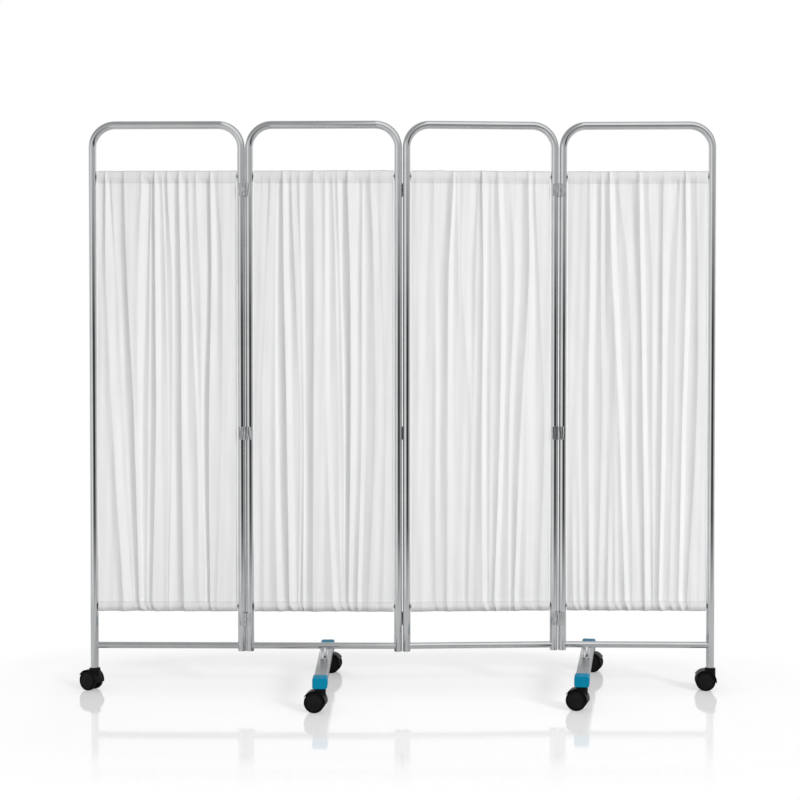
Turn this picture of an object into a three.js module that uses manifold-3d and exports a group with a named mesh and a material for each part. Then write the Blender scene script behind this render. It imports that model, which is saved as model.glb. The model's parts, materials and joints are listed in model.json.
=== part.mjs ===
// Ward privacy screen on wheels: four tube frames hinged edge to edge, each carrying a gathered
// curtain on two rods. The outer legs and two cross feet stand on twin-wheel casters.
// Millimetres, +Z up. X runs along the screen from left to right, Y from its front to its back.

import * as THREE from 'three';
import { mergeVertices } from 'three/addons/utils/BufferGeometryUtils.js';
import Module from 'manifold-3d';

const wasm = await Module();
wasm.setup();

// Driving dimensions of the frames
const screenHeight = 1804;
const legSpan = 470;
const tubeDiameter = 25;
const tubeWall = 1.5;
const bendRadius = 72;
const frameGap = 1;
const innerLegEndHeight = 127;
const railDiameter = 20;
const railWall = 1.5;
const railHeight = 144;

// Rods and curtains
const rodDiameter = 8;
const topRodDrop = 89.5;
const bottomRodHeight = 269;
const rodReachInTube = 8;
const clothThickness = 3.2;
const topEdgeRise = 18;
const topSeamDrop = 20;
const bottomEdgeDrop = 16;
const bottomSeamRise = 14;
const casingWall = 3.4;
const curtainSideGap = 2;
const foldDepth = 8;
const casingFoldDepth = 1.2;
const hemFoldDepth = 5;

// Hinges
const hingeHeight = 41;
const topHingeDrop = 42;
const middleHingeShare = 0.434;
const bottomHingeDrop = 40;
const leafReach = 20;
const leafThickness = 1.6;
const leafBite = 0.8;
const knuckleDiameter = 6.4;
const pinDiameter = 3;
const pinHeadDiameter = 5.2;
const pinHeadThickness = 1.2;
const pinHeadTaper = 0.8;
const knuckleGap = 0.4;

// Cross feet
const footLength = 600;
const barWidth = 40;
const barHeight = 28;
const barCornerRadius = 4;
const barWall = 2;
const barEndStep = 0.5;
const capLength = 50;
const capWall = 2.5;
const capEndWall = 3;
const postDiameter = 25;
const postWeldBite = 3;
const sideFootInset = 75;

// Casters
const wheelRadius = 31;
const wheelWidth = 16;
const wheelChamfer = 2.2;
const hubRadius = 23.5;
const hubRecess = 1.2;
const hubCapThickness = 3;
const wheelTuck = 0.5;
const webThickness = 13;
const casterTrail = 15;
const casterTop = 71;
const neckDiameter = 35;
const neckDepth = 16;
const fenderWall = 2;
const fenderClearance = 1.4;
const axleDiameter = 8;
const axleBossDiameter = 14;
const spindleDiameter = 8;
const spindleDepth = 30;
const collarDiameter = 16;
const collarThickness = 1.5;
const stemDiameter = 10;
const stemLength = 22;
const stemChamfer = 1;
const plugLength = 36;

// Clearances between pieces that touch or run on each other, and the overrun of every cut
const seatGap = 0.3;
const runningGap = 0.35;
const overrun = 2;

// How the screen stands: the turn of each frame about Z, of each foot on its post and of each caster
const frameTurns = [-0.9, -0.9, 2.9, -1.3];
const footTurns = { 2: 1.5, 4: -8.5 };
const casterTurns = { left: -28, '2_front': -8, '2_rear': 170, '4_front': -8, '4_rear': 170, right: -5 };
const fenderStartAngle = -8;
const fenderEndAngle = 150;

// Counts of flat sides and of steps
const tubeSides = 16;
const boreSides = 12;
const smallSides = 10;
const pinSides = 8;
const wheelSides = 20;
const bendSteps = 5;
const cornerSteps = 2;
const foldColumns = 46;

// The main folds of each curtain: how many, where they start, and how far they lean from bottom to top
const curtainFolds = [
  { folds: 9, startShare: 0.1, leanShare: 0.5, swellShare: 0.3 },
  { folds: 8.5, startShare: 0.45, leanShare: -0.6, swellShare: 0.7 },
  { folds: 9.5, startShare: 0.7, leanShare: 0.4, swellShare: 0.1 },
  { folds: 9, startShare: 0.3, leanShare: -0.8, swellShare: 0.5 },
];
// Heights of the cloth's plain rows, as shares of the way from the bottom hem seam to the top one
const clothRowShares = [0, 0.45, 1];
// A second, finer ripple on the main folds
const rippleRatio = 2.3;
const rippleShare = 0.35;

// Sizes that follow
const tubeRadius = tubeDiameter / 2;
const knuckleRadius = knuckleDiameter / 2;
const hingeReach = tubeRadius - leafBite + knuckleRadius;
const hingeInset = (legSpan + tubeDiameter + frameGap) / 2;
const bendCentreHeight = screenHeight - tubeRadius - bendRadius;
const topRodHeight = bendCentreHeight - topRodDrop;
const topHingeHeight = topRodHeight - topHingeDrop;
const bottomHingeHeight = bottomRodHeight - bottomHingeDrop;
const hingeHeights = {
  top: topHingeHeight,
  middle: bottomHingeHeight + middleHingeShare * (topHingeHeight - bottomHingeHeight),
  bottom: bottomHingeHeight,
};
const wheelInnerFace = webThickness / 2 + wheelTuck;
const casterWidth = 2 * (wheelInnerFace + wheelWidth);
const carriedHeight = casterTop + collarThickness + 2 * seatGap;
const barEndWidth = barWidth - 2 * barEndStep;
const barEndHeight = barHeight - 2 * barEndStep;
const barEndRadius = barCornerRadius - barEndStep;
const capHeight = barEndHeight + 2 * (capWall + seatGap);
const barBottomHeight = carriedHeight + capWall + seatGap - barEndStep;
const barTopHeight = barBottomHeight + barHeight;
const barLength = footLength - 2 * (capEndWall + seatGap);
const barFreeLength = footLength - 2 * (capLength + seatGap);
const casterInset = footLength / 2 - capLength / 2;

// Materials
const finishes = {
  chrome: { color: 0xc9cccd, roughness: 0.12, metalness: 1 },
  steel: { color: 0x9b9da0, roughness: 0.35, metalness: 1 },
  footSteel: { color: 0x93969a, roughness: 0.3, metalness: 0.9 },
  cloth: { color: 0xeeeeec, roughness: 0.9, metalness: 0 },
  bluePlastic: { color: 0x0a8ab4, roughness: 0.4, metalness: 0 },
  blackPlastic: { color: 0x141414, roughness: 0.45, metalness: 0 },
  wheel: { color: 0x222222, roughness: 0.55, metalness: 0 },
};

// A named mesh with its own material
function piece(name, solidOrGeometry, finish) {
  const geometry = solidOrGeometry.isBufferGeometry ? solidOrGeometry : toGeometry(solidOrGeometry);
  const mesh = new THREE.Mesh(geometry, new THREE.MeshStandardMaterial(finishes[finish]));
  mesh.name = name;
  return mesh;
}

// A closed geometry as a solid that can be joined and cut
function toSolid(geometry) {
  const bare = geometry.clone();
  bare.deleteAttribute('normal');
  bare.deleteAttribute('uv');
  const merged = mergeVertices(bare);
  return new wasm.Manifold(new wasm.Mesh({
    numProp: 3,
    vertProperties: Float32Array.from(merged.attributes.position.array),
    triVerts: Uint32Array.from(merged.index.array),
  }));
}

function toGeometry(solid) {
  const mesh = solid.getMesh();
  const geometry = new THREE.BufferGeometry();
  geometry.setAttribute('position', new THREE.BufferAttribute(mesh.vertProperties, 3));
  geometry.setIndex(new THREE.BufferAttribute(mesh.triVerts, 1));
  geometry.computeVertexNormals();
  return geometry;
}

function joined(solids) {
  return solids.reduce((whole, solid) => whole.add(solid));
}

// The outline of a round section, with flat sides towards X and Y
function circle(radius, sides) {
  const outline = [];
  for (let i = 0; i < sides; i++) {
    const angle = (2 * Math.PI * (i + 0.5)) / sides;
    outline.push(new THREE.Vector2(radius * Math.cos(angle), radius * Math.sin(angle)));
  }
  return outline;
}

// The outline of a round hole whose flat sides stay outside the radius
function hole(radius, sides) {
  return circle(radius / Math.cos(Math.PI / sides), sides);
}

function roundedRectangle(width, height, radius) {
  const outline = [];
  for (let corner = 0; corner < 4; corner++) {
    const cornerX = (corner === 0 || corner === 3 ? 1 : -1) * (width / 2 - radius);
    const cornerY = (corner < 2 ? 1 : -1) * (height / 2 - radius);
    for (let step = 0; step <= cornerSteps; step++) {
      const angle = (Math.PI / 2) * (corner + step / cornerSteps);
      const point = new THREE.Vector2(Math.cos(angle), Math.sin(angle)).multiplyScalar(radius);
      outline.push(point.add(new THREE.Vector2(cornerX, cornerY)));
    }
  }
  return outline;
}

function straight(outline, length) {
  return new THREE.ExtrudeGeometry(new THREE.Shape(outline), { depth: length, bevelEnabled: false });
}

// An outline drawn in XY, standing from one height to another
function upright(outline, bottom, top) {
  return toSolid(straight(outline, top - bottom).translate(0, 0, bottom));
}

// An outline drawn in XZ, running along Y from front to back
function acrossY(outline, front, back) {
  return toSolid(straight(outline, back - front).rotateX(Math.PI / 2).translate(0, back, 0));
}

// An outline drawn in YZ, running along X from left to right
function acrossX(outline, left, right) {
  const geometry = straight(outline, right - left).rotateZ(Math.PI / 2).rotateY(Math.PI / 2);
  return toSolid(geometry.translate(left, 0, 0));
}

function block(left, right, front, back, bottom, top) {
  const geometry = new THREE.BoxGeometry(right - left, back - front, top - bottom);
  return toSolid(geometry.translate((left + right) / 2, (front + back) / 2, (bottom + top) / 2));
}

// A turned piece: rows of radius and height, from the bottom of its axis to the top, about Z
function turned(rows, sides) {
  const profile = rows.map(([radius, height]) => new THREE.Vector2(radius, height));
  const geometry = new THREE.LatheGeometry(profile, sides, Math.PI / sides);
  return toSolid(geometry.rotateX(Math.PI / 2));
}

// The centre line of a bent tube, given only at the stations where its section is wanted
class StationPath extends THREE.Curve {
  constructor(stations) {
    super();
    this.stations = stations;
  }

  stationAt(share) {
    return this.stations[Math.round(share * (this.stations.length - 1))];
  }

  getPoint(share) {
    return this.stationAt(share).point.clone();
  }

  getPointAt(share) {
    return this.getPoint(share);
  }

  getTangentAt(share) {
    return this.stationAt(share).tangent.clone();
  }
}

function station(x, z, tangentX, tangentZ) {
  return { point: new THREE.Vector3(x, 0, z), tangent: new THREE.Vector3(tangentX, 0, tangentZ) };
}

// The arch of one frame, up the left leg, over the top and down the right leg
function archStations(leftEnd, rightEnd) {
  const bendCentreX = legSpan / 2 - bendRadius;
  const stations = [station(-legSpan / 2, leftEnd, 0, 1)];
  for (const side of [-1, 1]) {
    for (let step = 0; step <= bendSteps; step++) {
      const turn = (Math.PI / 2) * (step / bendSteps);
      const angle = side < 0 ? Math.PI - turn : Math.PI / 2 - turn;
      const x = side * bendCentreX + bendRadius * Math.cos(angle);
      const z = bendCentreHeight + bendRadius * Math.sin(angle);
      stations.push(station(x, z, Math.sin(angle), -Math.cos(angle)));
    }
  }
  stations.push(station(legSpan / 2, rightEnd, 0, -1));
  return stations;
}

function archSolid(leftEnd, rightEnd, outline) {
  const stations = archStations(leftEnd, rightEnd);
  const settings = { steps: stations.length - 1, extrudePath: new StationPath(stations) };
  return toSolid(new THREE.ExtrudeGeometry(new THREE.Shape(outline), settings));
}

// One leaf of a hinge with its knuckles, its axis at the given place. Sides are -1 or 1: where the
// leaf's own tube lies along X, and where the tubes lie along Y as seen from the axis.
function hingeLeaf(axisX, axisY, height, tubeSideX, tubeSideY, carriesMiddle) {
  const third = hingeHeight / 3;
  const spans = carriesMiddle
    ? [[-third / 2 + knuckleGap / 2, third / 2 - knuckleGap / 2]]
    : [[-hingeHeight / 2, -third / 2 - knuckleGap / 2], [third / 2 + knuckleGap / 2, hingeHeight / 2]];
  const plateStart = knuckleRadius + knuckleGap;
  const plateY = [tubeSideY * knuckleRadius, tubeSideY * (knuckleRadius - leafThickness)];
  const plateBetween = (near, far, bottom, top) => {
    const plateX = [tubeSideX * near, tubeSideX * far];
    const [left, right] = [Math.min(...plateX), Math.max(...plateX)];
    return block(left, right, Math.min(...plateY), Math.max(...plateY), bottom, top);
  };
  const parts = [plateBetween(plateStart, leafReach, -hingeHeight / 2, hingeHeight / 2)];
  for (const [bottom, top] of spans) {
    parts.push(plateBetween(0, plateStart + leafThickness, bottom, top));
    parts.push(upright(circle(knuckleRadius, smallSides), bottom, top));
  }
  const bore = upright(hole(pinDiameter / 2 + runningGap, pinSides), -hingeHeight, hingeHeight);
  return joined(parts).subtract(bore).translate([axisX, axisY, height]);
}

// The bent tube with the holes for the rod ends and the hinge leaves welded to its legs
function frameSolid(frame) {
  const outside = archSolid(frame.leftEnd, frame.rightEnd, circle(tubeRadius, tubeSides));
  const inside = archSolid(frame.leftEnd - overrun, frame.rightEnd - overrun,
    hole(tubeRadius - tubeWall, boreSides));
  const parts = [outside];
  for (const hinge of frame.hinges) {
    for (const height of Object.values(hingeHeights)) {
      parts.push(hingeLeaf(hinge.side * hingeInset, hinge.face * hingeReach, height,
        -hinge.side, -hinge.face, hinge.carriesMiddle));
    }
  }
  const rodHole = hole(rodDiameter / 2 + seatGap, boreSides);
  const rodHoles = [];
  for (const height of [bottomRodHeight, topRodHeight]) {
    rodHoles.push(acrossX(rodHole, -legSpan / 2, legSpan / 2).translate([0, 0, height]));
  }
  return joined(parts).subtract(inside).subtract(joined(rodHoles));
}

// The rail between the legs, its ends hollowed to their round. A frame with a foot has the foot's
// post welded under it, which goes down through the top of the foot's bar and stands in it.
function railSolid(frame) {
  const length = legSpan / 2;
  const rail = acrossX(circle(railDiameter / 2, tubeSides), -length, length).translate([0, 0, railHeight]);
  const bore = acrossX(circle(railDiameter / 2 - railWall, boreSides), -length - overrun, length + overrun);
  const parts = [rail];
  const cuts = [bore.translate([0, 0, railHeight])];
  const legRoom = circle(tubeRadius + seatGap, tubeSides);
  for (const side of [-1, 1]) {
    const leg = upright(legRoom, railHeight - railDiameter, railHeight + railDiameter);
    cuts.push(leg.translate([side * legSpan / 2, 0, 0]));
  }
  if (frame.footX !== undefined) {
    const postBottom = barBottomHeight + barWall + seatGap;
    const postTop = railHeight - railDiameter / 2 + postWeldBite;
    const post = upright(circle(postDiameter / 2, tubeSides), postBottom, postTop);
    parts.push(post.translate([frame.footX, 0, 0]));
  }
  return joined(parts).subtract(joined(cuts));
}

function rodSolid(height) {
  const end = legSpan / 2 - tubeRadius + rodReachInTube;
  return acrossX(circle(rodDiameter / 2, smallSides), -end, end).translate([0, 0, height]);
}

// Rows of the cloth from bottom to top: height, half thickness and depth of the folds
function clothRows() {
  const sheet = clothThickness / 2;
  const aroundRod = rodDiameter / 2 + seatGap + casingWall;
  const lowSeam = bottomRodHeight + bottomSeamRise;
  const highSeam = topRodHeight - topSeamDrop;
  const rows = [
    { height: bottomRodHeight - bottomEdgeDrop, half: sheet, fold: hemFoldDepth },
    { height: bottomRodHeight, half: aroundRod, fold: casingFoldDepth },
  ];
  for (const share of clothRowShares) {
    const atSeam = share === 0 || share === 1;
    const height = lowSeam + share * (highSeam - lowSeam);
    rows.push({ height, half: sheet, fold: atSeam ? hemFoldDepth : foldDepth });
  }
  rows.push({ height: topRodHeight, half: aroundRod, fold: casingFoldDepth });
  rows.push({ height: topRodHeight + topEdgeRise, half: sheet, fold: casingFoldDepth });
  return rows;
}

// How far the cloth stands off the rods' plane, as a share of the fold depth
function foldShare(pattern, acrossShare, heightShare) {
  const turns = pattern.folds * acrossShare + pattern.startShare + pattern.leanShare * heightShare;
  const main = 2 * Math.PI * turns;
  const ripple = rippleRatio * main + 2 * Math.PI * pattern.swellShare;
  return (Math.sin(main) + rippleShare * Math.sin(ripple)) / (1 + rippleShare);
}

// The gathered curtain as one closed sheet with its main folds, and a casing round each rod
function curtainSolid(pattern) {
  const rows = clothRows();
  const halfWidth = legSpan / 2 - tubeRadius - curtainSideGap;
  const bottom = rows[0].height;
  const tall = rows[rows.length - 1].height - bottom;
  const perRow = foldColumns + 1;
  const positions = [];
  for (const face of [-1, 1]) {
    for (const row of rows) {
      for (let column = 0; column <= foldColumns; column++) {
        const share = column / foldColumns;
        const centre = row.fold * foldShare(pattern, share, (row.height - bottom) / tall);
        positions.push((2 * share - 1) * halfWidth, centre + face * row.half, row.height);
      }
    }
  }
  const at = (face, row, column) => (face * rows.length + row) * perRow + column;
  const faces = [];
  const quad = (a, b, c, d) => faces.push(a, b, c, a, c, d);
  const last = rows.length - 1;
  const end = foldColumns;
  for (let row = 0; row < last; row++) {
    for (let column = 0; column < foldColumns; column++) {
      quad(at(0, row, column), at(0, row, column + 1), at(0, row + 1, column + 1), at(0, row + 1, column));
      quad(at(1, row, column), at(1, row + 1, column), at(1, row + 1, column + 1), at(1, row, column + 1));
    }
    quad(at(0, row + 1, 0), at(1, row + 1, 0), at(1, row, 0), at(0, row, 0));
    quad(at(0, row, end), at(1, row, end), at(1, row + 1, end), at(0, row + 1, end));
  }
  for (let column = 0; column < foldColumns; column++) {
    quad(at(0, 0, column + 1), at(0, 0, column), at(1, 0, column), at(1, 0, column + 1));
    quad(at(0, last, column), at(0, last, column + 1), at(1, last, column + 1), at(1, last, column));
  }
  const sheet = new THREE.BufferGeometry();
  sheet.setAttribute('position', new THREE.Float32BufferAttribute(positions, 3));
  sheet.setIndex(faces);
  const rodBore = hole(rodDiameter / 2 + seatGap, smallSides);
  const bores = [];
  for (const height of [bottomRodHeight, topRodHeight]) {
    bores.push(acrossX(rodBore, -legSpan / 2, legSpan / 2).translate([0, 0, height]));
  }
  return toSolid(sheet).subtract(joined(bores));
}

// A hinge pin with a head at each end, its middle at the origin
function pinSolid() {
  const shaft = pinDiameter / 2;
  const head = pinHeadDiameter / 2;
  const headStart = hingeHeight / 2 + seatGap;
  const headEnd = headStart + pinHeadThickness;
  const half = [
    [shaft, headStart],
    [head, headStart],
    [head - pinHeadTaper, headEnd],
    [0, headEnd],
  ];
  const mirrored = half.map(([radius, height]) => [radius, -height]).reverse();
  return turned([...mirrored, ...half], pinSides);
}

// The bar of a cross foot, along Y with its middle at the origin. The post stands in a hole in its
// top, a caster's stem goes up into each end, and the ends are stepped down for the sleeves.
function barSolid() {
  const outer = roundedRectangle(barWidth, barHeight, barCornerRadius);
  const end = roundedRectangle(barEndWidth, barEndHeight, barEndRadius);
  const innerRadius = barCornerRadius - barWall;
  const inner = roundedRectangle(barWidth - 2 * barWall, barHeight - 2 * barWall, innerRadius);
  const tube = acrossY(outer, -barFreeLength / 2, barFreeLength / 2)
    .add(acrossY(end, -barLength / 2, barLength / 2));
  const bore = acrossY(inner, -barLength / 2 - overrun, barLength / 2 + overrun);
  const barMiddle = barBottomHeight + barHeight / 2;
  const postHole = upright(hole(postDiameter / 2 + seatGap, tubeSides), barMiddle, barTopHeight + overrun);
  const holes = joined([stemHole(-casterInset), stemHole(casterInset), postHole]);
  return tube.subtract(bore).translate([0, 0, barMiddle]).subtract(holes);
}

function stemHole(y) {
  const outline = hole(stemDiameter / 2 + seatGap, boreSides);
  return upright(outline, carriedHeight - overrun, barBottomHeight + barHeight / 2).translate([0, y, 0]);
}

// The plastic sleeve over one end of the bar. End is -1 at the front and 1 at the back.
function capSolid(end) {
  const clear = barEndRadius + seatGap;
  const outer = roundedRectangle(barEndWidth + 2 * (capWall + seatGap), capHeight, clear + capWall);
  const inner = roundedRectangle(barEndWidth + 2 * seatGap, barEndHeight + 2 * seatGap, clear);
  const outerEnd = footLength / 2;
  const innerEnd = outerEnd - capLength;
  const pocketEnd = outerEnd - capEndWall;
  const between = (outline, near, far) => {
    const [front, back] = end > 0 ? [near, far] : [-far, -near];
    return acrossY(outline, front, back);
  };
  const sleeve = between(outer, innerEnd, outerEnd).subtract(between(inner, innerEnd - overrun, pocketEnd));
  return sleeve.translate([0, 0, carriedHeight + capHeight / 2]).subtract(stemHole(end * casterInset));
}

// The fixed stem of a caster: a spindle down into the hood, a thrust collar, and above it either a
// short stem for a foot or a plug that fills the bore of a leg
function stemSolid(upperRadius, upperLength) {
  const spindle = spindleDiameter / 2;
  const collarBottom = casterTop + seatGap;
  const collarTop = collarBottom + collarThickness;
  const spindleBottom = casterTop - spindleDepth;
  const top = collarTop + upperLength;
  return turned([
    [0, spindleBottom],
    [spindle, spindleBottom],
    [spindle, collarBottom],
    [collarDiameter / 2, collarBottom],
    [collarDiameter / 2, collarTop],
    [upperRadius, collarTop],
    [upperRadius, top - stemChamfer],
    [upperRadius - stemChamfer, top],
    [0, top],
  ], smallSides);
}

// The hood of a caster: fender over the wheels, web between them with the axle, and the neck that
// turns on the spindle. The swivel axis is at the origin and the wheels trail towards -X.
function hoodSolid() {
  const cavityRadius = wheelRadius / Math.cos(Math.PI / wheelSides) + fenderClearance;
  const fenderRadius = cavityRadius + fenderWall;
  const sector = [new THREE.Vector2(0, 0)];
  const steps = wheelSides / 2;
  for (let step = 0; step <= steps; step++) {
    const degrees = fenderStartAngle + (step / steps) * (fenderEndAngle - fenderStartAngle);
    const angle = THREE.MathUtils.degToRad(degrees);
    sector.push(new THREE.Vector2(fenderRadius * Math.cos(angle), fenderRadius * Math.sin(angle)));
  }
  const toAxle = [-casterTrail, 0, wheelRadius];
  const fender = acrossY(sector, -casterWidth / 2, casterWidth / 2).translate(toAxle);
  const boss = acrossY(circle(axleBossDiameter / 2, boreSides), -webThickness / 2, webThickness / 2);
  const neck = upright(circle(neckDiameter / 2, tubeSides), casterTop - neckDepth, casterTop);
  const spindleBore = upright(hole(spindleDiameter / 2 + runningGap, boreSides),
    casterTop - spindleDepth - seatGap, casterTop + overrun);
  const cavity = circle(cavityRadius, wheelSides);
  const cavities = [
    acrossY(cavity, -casterWidth / 2 - overrun, -webThickness / 2).translate(toAxle),
    acrossY(cavity, webThickness / 2, casterWidth / 2 + overrun).translate(toAxle),
  ];
  const axleEnd = casterWidth / 2 - hubRecess - hubCapThickness - seatGap;
  const axle = acrossY(circle(axleDiameter / 2, boreSides), -axleEnd, axleEnd).translate(toAxle);
  const body = joined([fender, boss.translate(toAxle), neck]).subtract(joined(cavities));
  return body.add(axle).subtract(spindleBore);
}

// One wheel, its axle bore open towards the web and closed by the hub's outer face. Side is -1 for
// the wheel towards -Y and 1 for the one towards +Y.
function wheelGeometry(side) {
  const outer = wheelRadius / Math.cos(Math.PI / wheelSides);
  const bore = axleDiameter / 2 + runningGap;
  const innerFace = wheelInnerFace;
  const outerFace = wheelInnerFace + wheelWidth;
  const hubFace = outerFace - hubRecess;
  const rows = [
    [0, hubFace - hubCapThickness],
    [bore, hubFace - hubCapThickness],
    [bore, innerFace],
    [outer, innerFace],
    [outer, outerFace - wheelChamfer],
    [outer - wheelChamfer, outerFace],
    [hubRadius + hubRecess, outerFace],
    [hubRadius, hubFace],
    [0, hubFace],
  ];
  const profile = rows.map(([radius, along]) => new THREE.Vector2(radius, along));
  const geometry = new THREE.LatheGeometry(profile, wheelSides, Math.PI / wheelSides);
  return side > 0 ? geometry : geometry.rotateX(Math.PI);
}

// A caster on its stem. The hood and wheels turn together about the stem.
function casterGroup(name, upperRadius, upperLength) {
  const group = new THREE.Group();
  group.add(piece(`caster_stem_${name}`, stemSolid(upperRadius, upperLength), 'steel'));
  const swivel = new THREE.Group();
  swivel.name = `swivel_${name}`;
  swivel.rotation.z = THREE.MathUtils.degToRad(casterTurns[name]);
  swivel.add(piece(`caster_hood_${name}`, hoodSolid(), 'blackPlastic'));
  for (const [label, side] of [['near', -1], ['far', 1]]) {
    const wheel = piece(`wheel_${name}_${label}`, wheelGeometry(side), 'wheel');
    wheel.position.set(-casterTrail, 0, wheelRadius);
    swivel.add(wheel);
  }
  group.add(swivel);
  return group;
}

// A cross foot under the rail, with its bar, sleeves and two casters
function footGroup(number) {
  const group = new THREE.Group();
  group.rotation.z = THREE.MathUtils.degToRad(footTurns[number]);
  group.add(piece(`foot_bar_${number}`, barSolid(), 'footSteel'));
  for (const [label, end] of [['front', -1], ['rear', 1]]) {
    group.add(piece(`foot_cap_${number}_${label}`, capSolid(end), 'bluePlastic'));
    const caster = casterGroup(`${number}_${label}`, stemDiameter / 2, stemLength);
    caster.position.y = end * casterInset;
    group.add(caster);
  }
  return group;
}

// The four frames from left to right. A hinge's side is -1 on the left leg, its face -1 at the front.
const frames = [
  {
    number: 1,
    leftEnd: carriedHeight,
    rightEnd: innerLegEndHeight,
    hinges: [{ side: 1, face: -1, carriesMiddle: false }],
    legCaster: { side: -1, name: 'left' },
  },
  {
    number: 2,
    leftEnd: innerLegEndHeight,
    rightEnd: innerLegEndHeight,
    hinges: [{ side: -1, face: -1, carriesMiddle: true }, { side: 1, face: 1, carriesMiddle: false }],
    footX: 0,
  },
  {
    number: 3,
    leftEnd: innerLegEndHeight,
    rightEnd: innerLegEndHeight,
    hinges: [{ side: -1, face: 1, carriesMiddle: true }, { side: 1, face: -1, carriesMiddle: false }],
  },
  {
    number: 4,
    leftEnd: innerLegEndHeight,
    rightEnd: carriedHeight,
    hinges: [{ side: -1, face: -1, carriesMiddle: true }],
    legCaster: { side: 1, name: 'right' },
    footX: sideFootInset - legSpan / 2,
  },
];

// One panel: frame, rail, rods, curtain, and the foot or caster that carries it
function panelGroup(frame) {
  const group = new THREE.Group();
  const { number } = frame;
  group.add(piece(`frame_${number}`, frameSolid(frame), 'chrome'));
  group.add(piece(`bottom_rail_${number}`, railSolid(frame), 'chrome'));
  group.add(piece(`top_rod_${number}`, rodSolid(topRodHeight), 'steel'));
  group.add(piece(`bottom_rod_${number}`, rodSolid(bottomRodHeight), 'steel'));
  group.add(piece(`curtain_${number}`, curtainSolid(curtainFolds[number - 1]), 'cloth'));
  if (frame.footX !== undefined) {
    const foot = footGroup(number);
    foot.position.x = frame.footX;
    group.add(foot);
  }
  if (frame.legCaster) {
    const bore = tubeRadius - tubeWall;
    const caster = casterGroup(frame.legCaster.name, bore - seatGap, plugLength);
    caster.position.x = frame.legCaster.side * legSpan / 2;
    group.add(caster);
  }
  return group;
}

// The pins of the hinges between one frame and the next, on the left frame's right-hand hinge axis
function addPins(group, number, face) {
  for (const [label, height] of Object.entries(hingeHeights)) {
    const pin = piece(`hinge_pin_${number}_${label}`, pinSolid(), 'steel');
    pin.position.set(hingeInset, face * hingeReach, height);
    group.add(pin);
  }
}

// Each next frame hangs on the one before it, turned about their common hinge axis
const screen = new THREE.Group();
let carrier = screen;
let turnSoFar = 0;
for (const frame of frames) {
  const panel = panelGroup(frame);
  const turn = frameTurns[frame.number - 1];
  const leftHinge = frame.hinges.find((hinge) => hinge.side < 0);
  if (leftHinge) {
    const axis = new THREE.Group();
    axis.name = `hinge_axis_${frame.number - 1}`;
    axis.position.set(hingeInset, leftHinge.face * hingeReach, 0);
    axis.rotation.z = THREE.MathUtils.degToRad(turn - turnSoFar);
    panel.position.set(hingeInset, -leftHinge.face * hingeReach, 0);
    axis.add(panel);
    carrier.add(axis);
  } else {
    panel.rotation.z = THREE.MathUtils.degToRad(turn);
    carrier.add(panel);
  }
  const rightHinge = frame.hinges.find((hinge) => hinge.side > 0);
  if (rightHinge) {
    addPins(panel, frame.number, rightHinge.face);
  }
  carrier = panel;
  turnSoFar = turn;
}

// The origin lies on the floor in the middle of the ground that the screen covers
const bounds = new THREE.Box3().setFromObject(screen);
screen.position.set(-(bounds.min.x + bounds.max.x) / 2, -(bounds.min.y + bounds.max.y) / 2, -bounds.min.z);

const model = new THREE.Group();
model.add(screen);

export default model;
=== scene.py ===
"""Looks of a ward privacy screen: four hinged chrome frames with gathered curtains on casters.

Metres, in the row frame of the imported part: +X along the screen, +Y to its back, +Z up. Each piece
is built about its own panel, foot or caster, and then put in that one's place.
"""

import json
import math

import bpy
import numpy as np
from mathutils import Matrix, Vector


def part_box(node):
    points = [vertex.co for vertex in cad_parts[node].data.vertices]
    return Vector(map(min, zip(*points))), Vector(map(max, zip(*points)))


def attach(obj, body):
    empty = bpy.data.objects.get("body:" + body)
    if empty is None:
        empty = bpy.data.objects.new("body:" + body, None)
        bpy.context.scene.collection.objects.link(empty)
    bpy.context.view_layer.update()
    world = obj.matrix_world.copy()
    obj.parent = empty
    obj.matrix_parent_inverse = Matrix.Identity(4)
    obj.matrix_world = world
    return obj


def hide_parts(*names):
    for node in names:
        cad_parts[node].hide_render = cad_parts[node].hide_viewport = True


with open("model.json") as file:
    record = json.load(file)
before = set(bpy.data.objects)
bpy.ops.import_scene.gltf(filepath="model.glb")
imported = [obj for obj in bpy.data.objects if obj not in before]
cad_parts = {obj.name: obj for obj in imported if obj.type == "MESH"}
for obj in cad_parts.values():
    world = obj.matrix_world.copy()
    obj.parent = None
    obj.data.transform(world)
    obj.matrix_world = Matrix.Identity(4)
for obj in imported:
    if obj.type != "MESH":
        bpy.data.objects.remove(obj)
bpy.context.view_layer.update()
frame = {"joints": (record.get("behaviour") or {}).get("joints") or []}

# Frames
SCREEN_HEIGHT = 1.804
LEG_SPAN = 0.47
HALF_SPAN = LEG_SPAN / 2
TUBE_RADIUS = 0.0125
TUBE_WALL = 0.0015
TUBE_SIDES = 56
BEND_RADIUS = 0.072
BEND_STEPS = 16
BEND_START = SCREEN_HEIGHT - TUBE_RADIUS - BEND_RADIUS
WALL_FACING_SHARE = 0.8
WALL_TOLERANCE = 5e-5
RAIL_RADIUS = 0.01
RAIL_HEIGHT = 0.144
RAIL_SIDES = 48
INNER_LEG_END = 0.127
OUTER_LEG_END = 0.0731
ROD_RADIUS = 0.004
ROD_SIDES = 32
ROD_CLEARANCE = 0.0003
ROD_REACH_IN_TUBE = 0.008
TOP_ROD_HEIGHT = 1.63
BOTTOM_ROD_HEIGHT = 0.269
FRAME_TURNS = {1: -0.9, 2: -0.9, 3: 2.9, 4: -1.3}
LEG_ENDS = {
    1: (OUTER_LEG_END, INNER_LEG_END),
    2: (INNER_LEG_END, INNER_LEG_END),
    3: (INNER_LEG_END, INNER_LEG_END),
    4: (INNER_LEG_END, OUTER_LEG_END),
}

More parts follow.
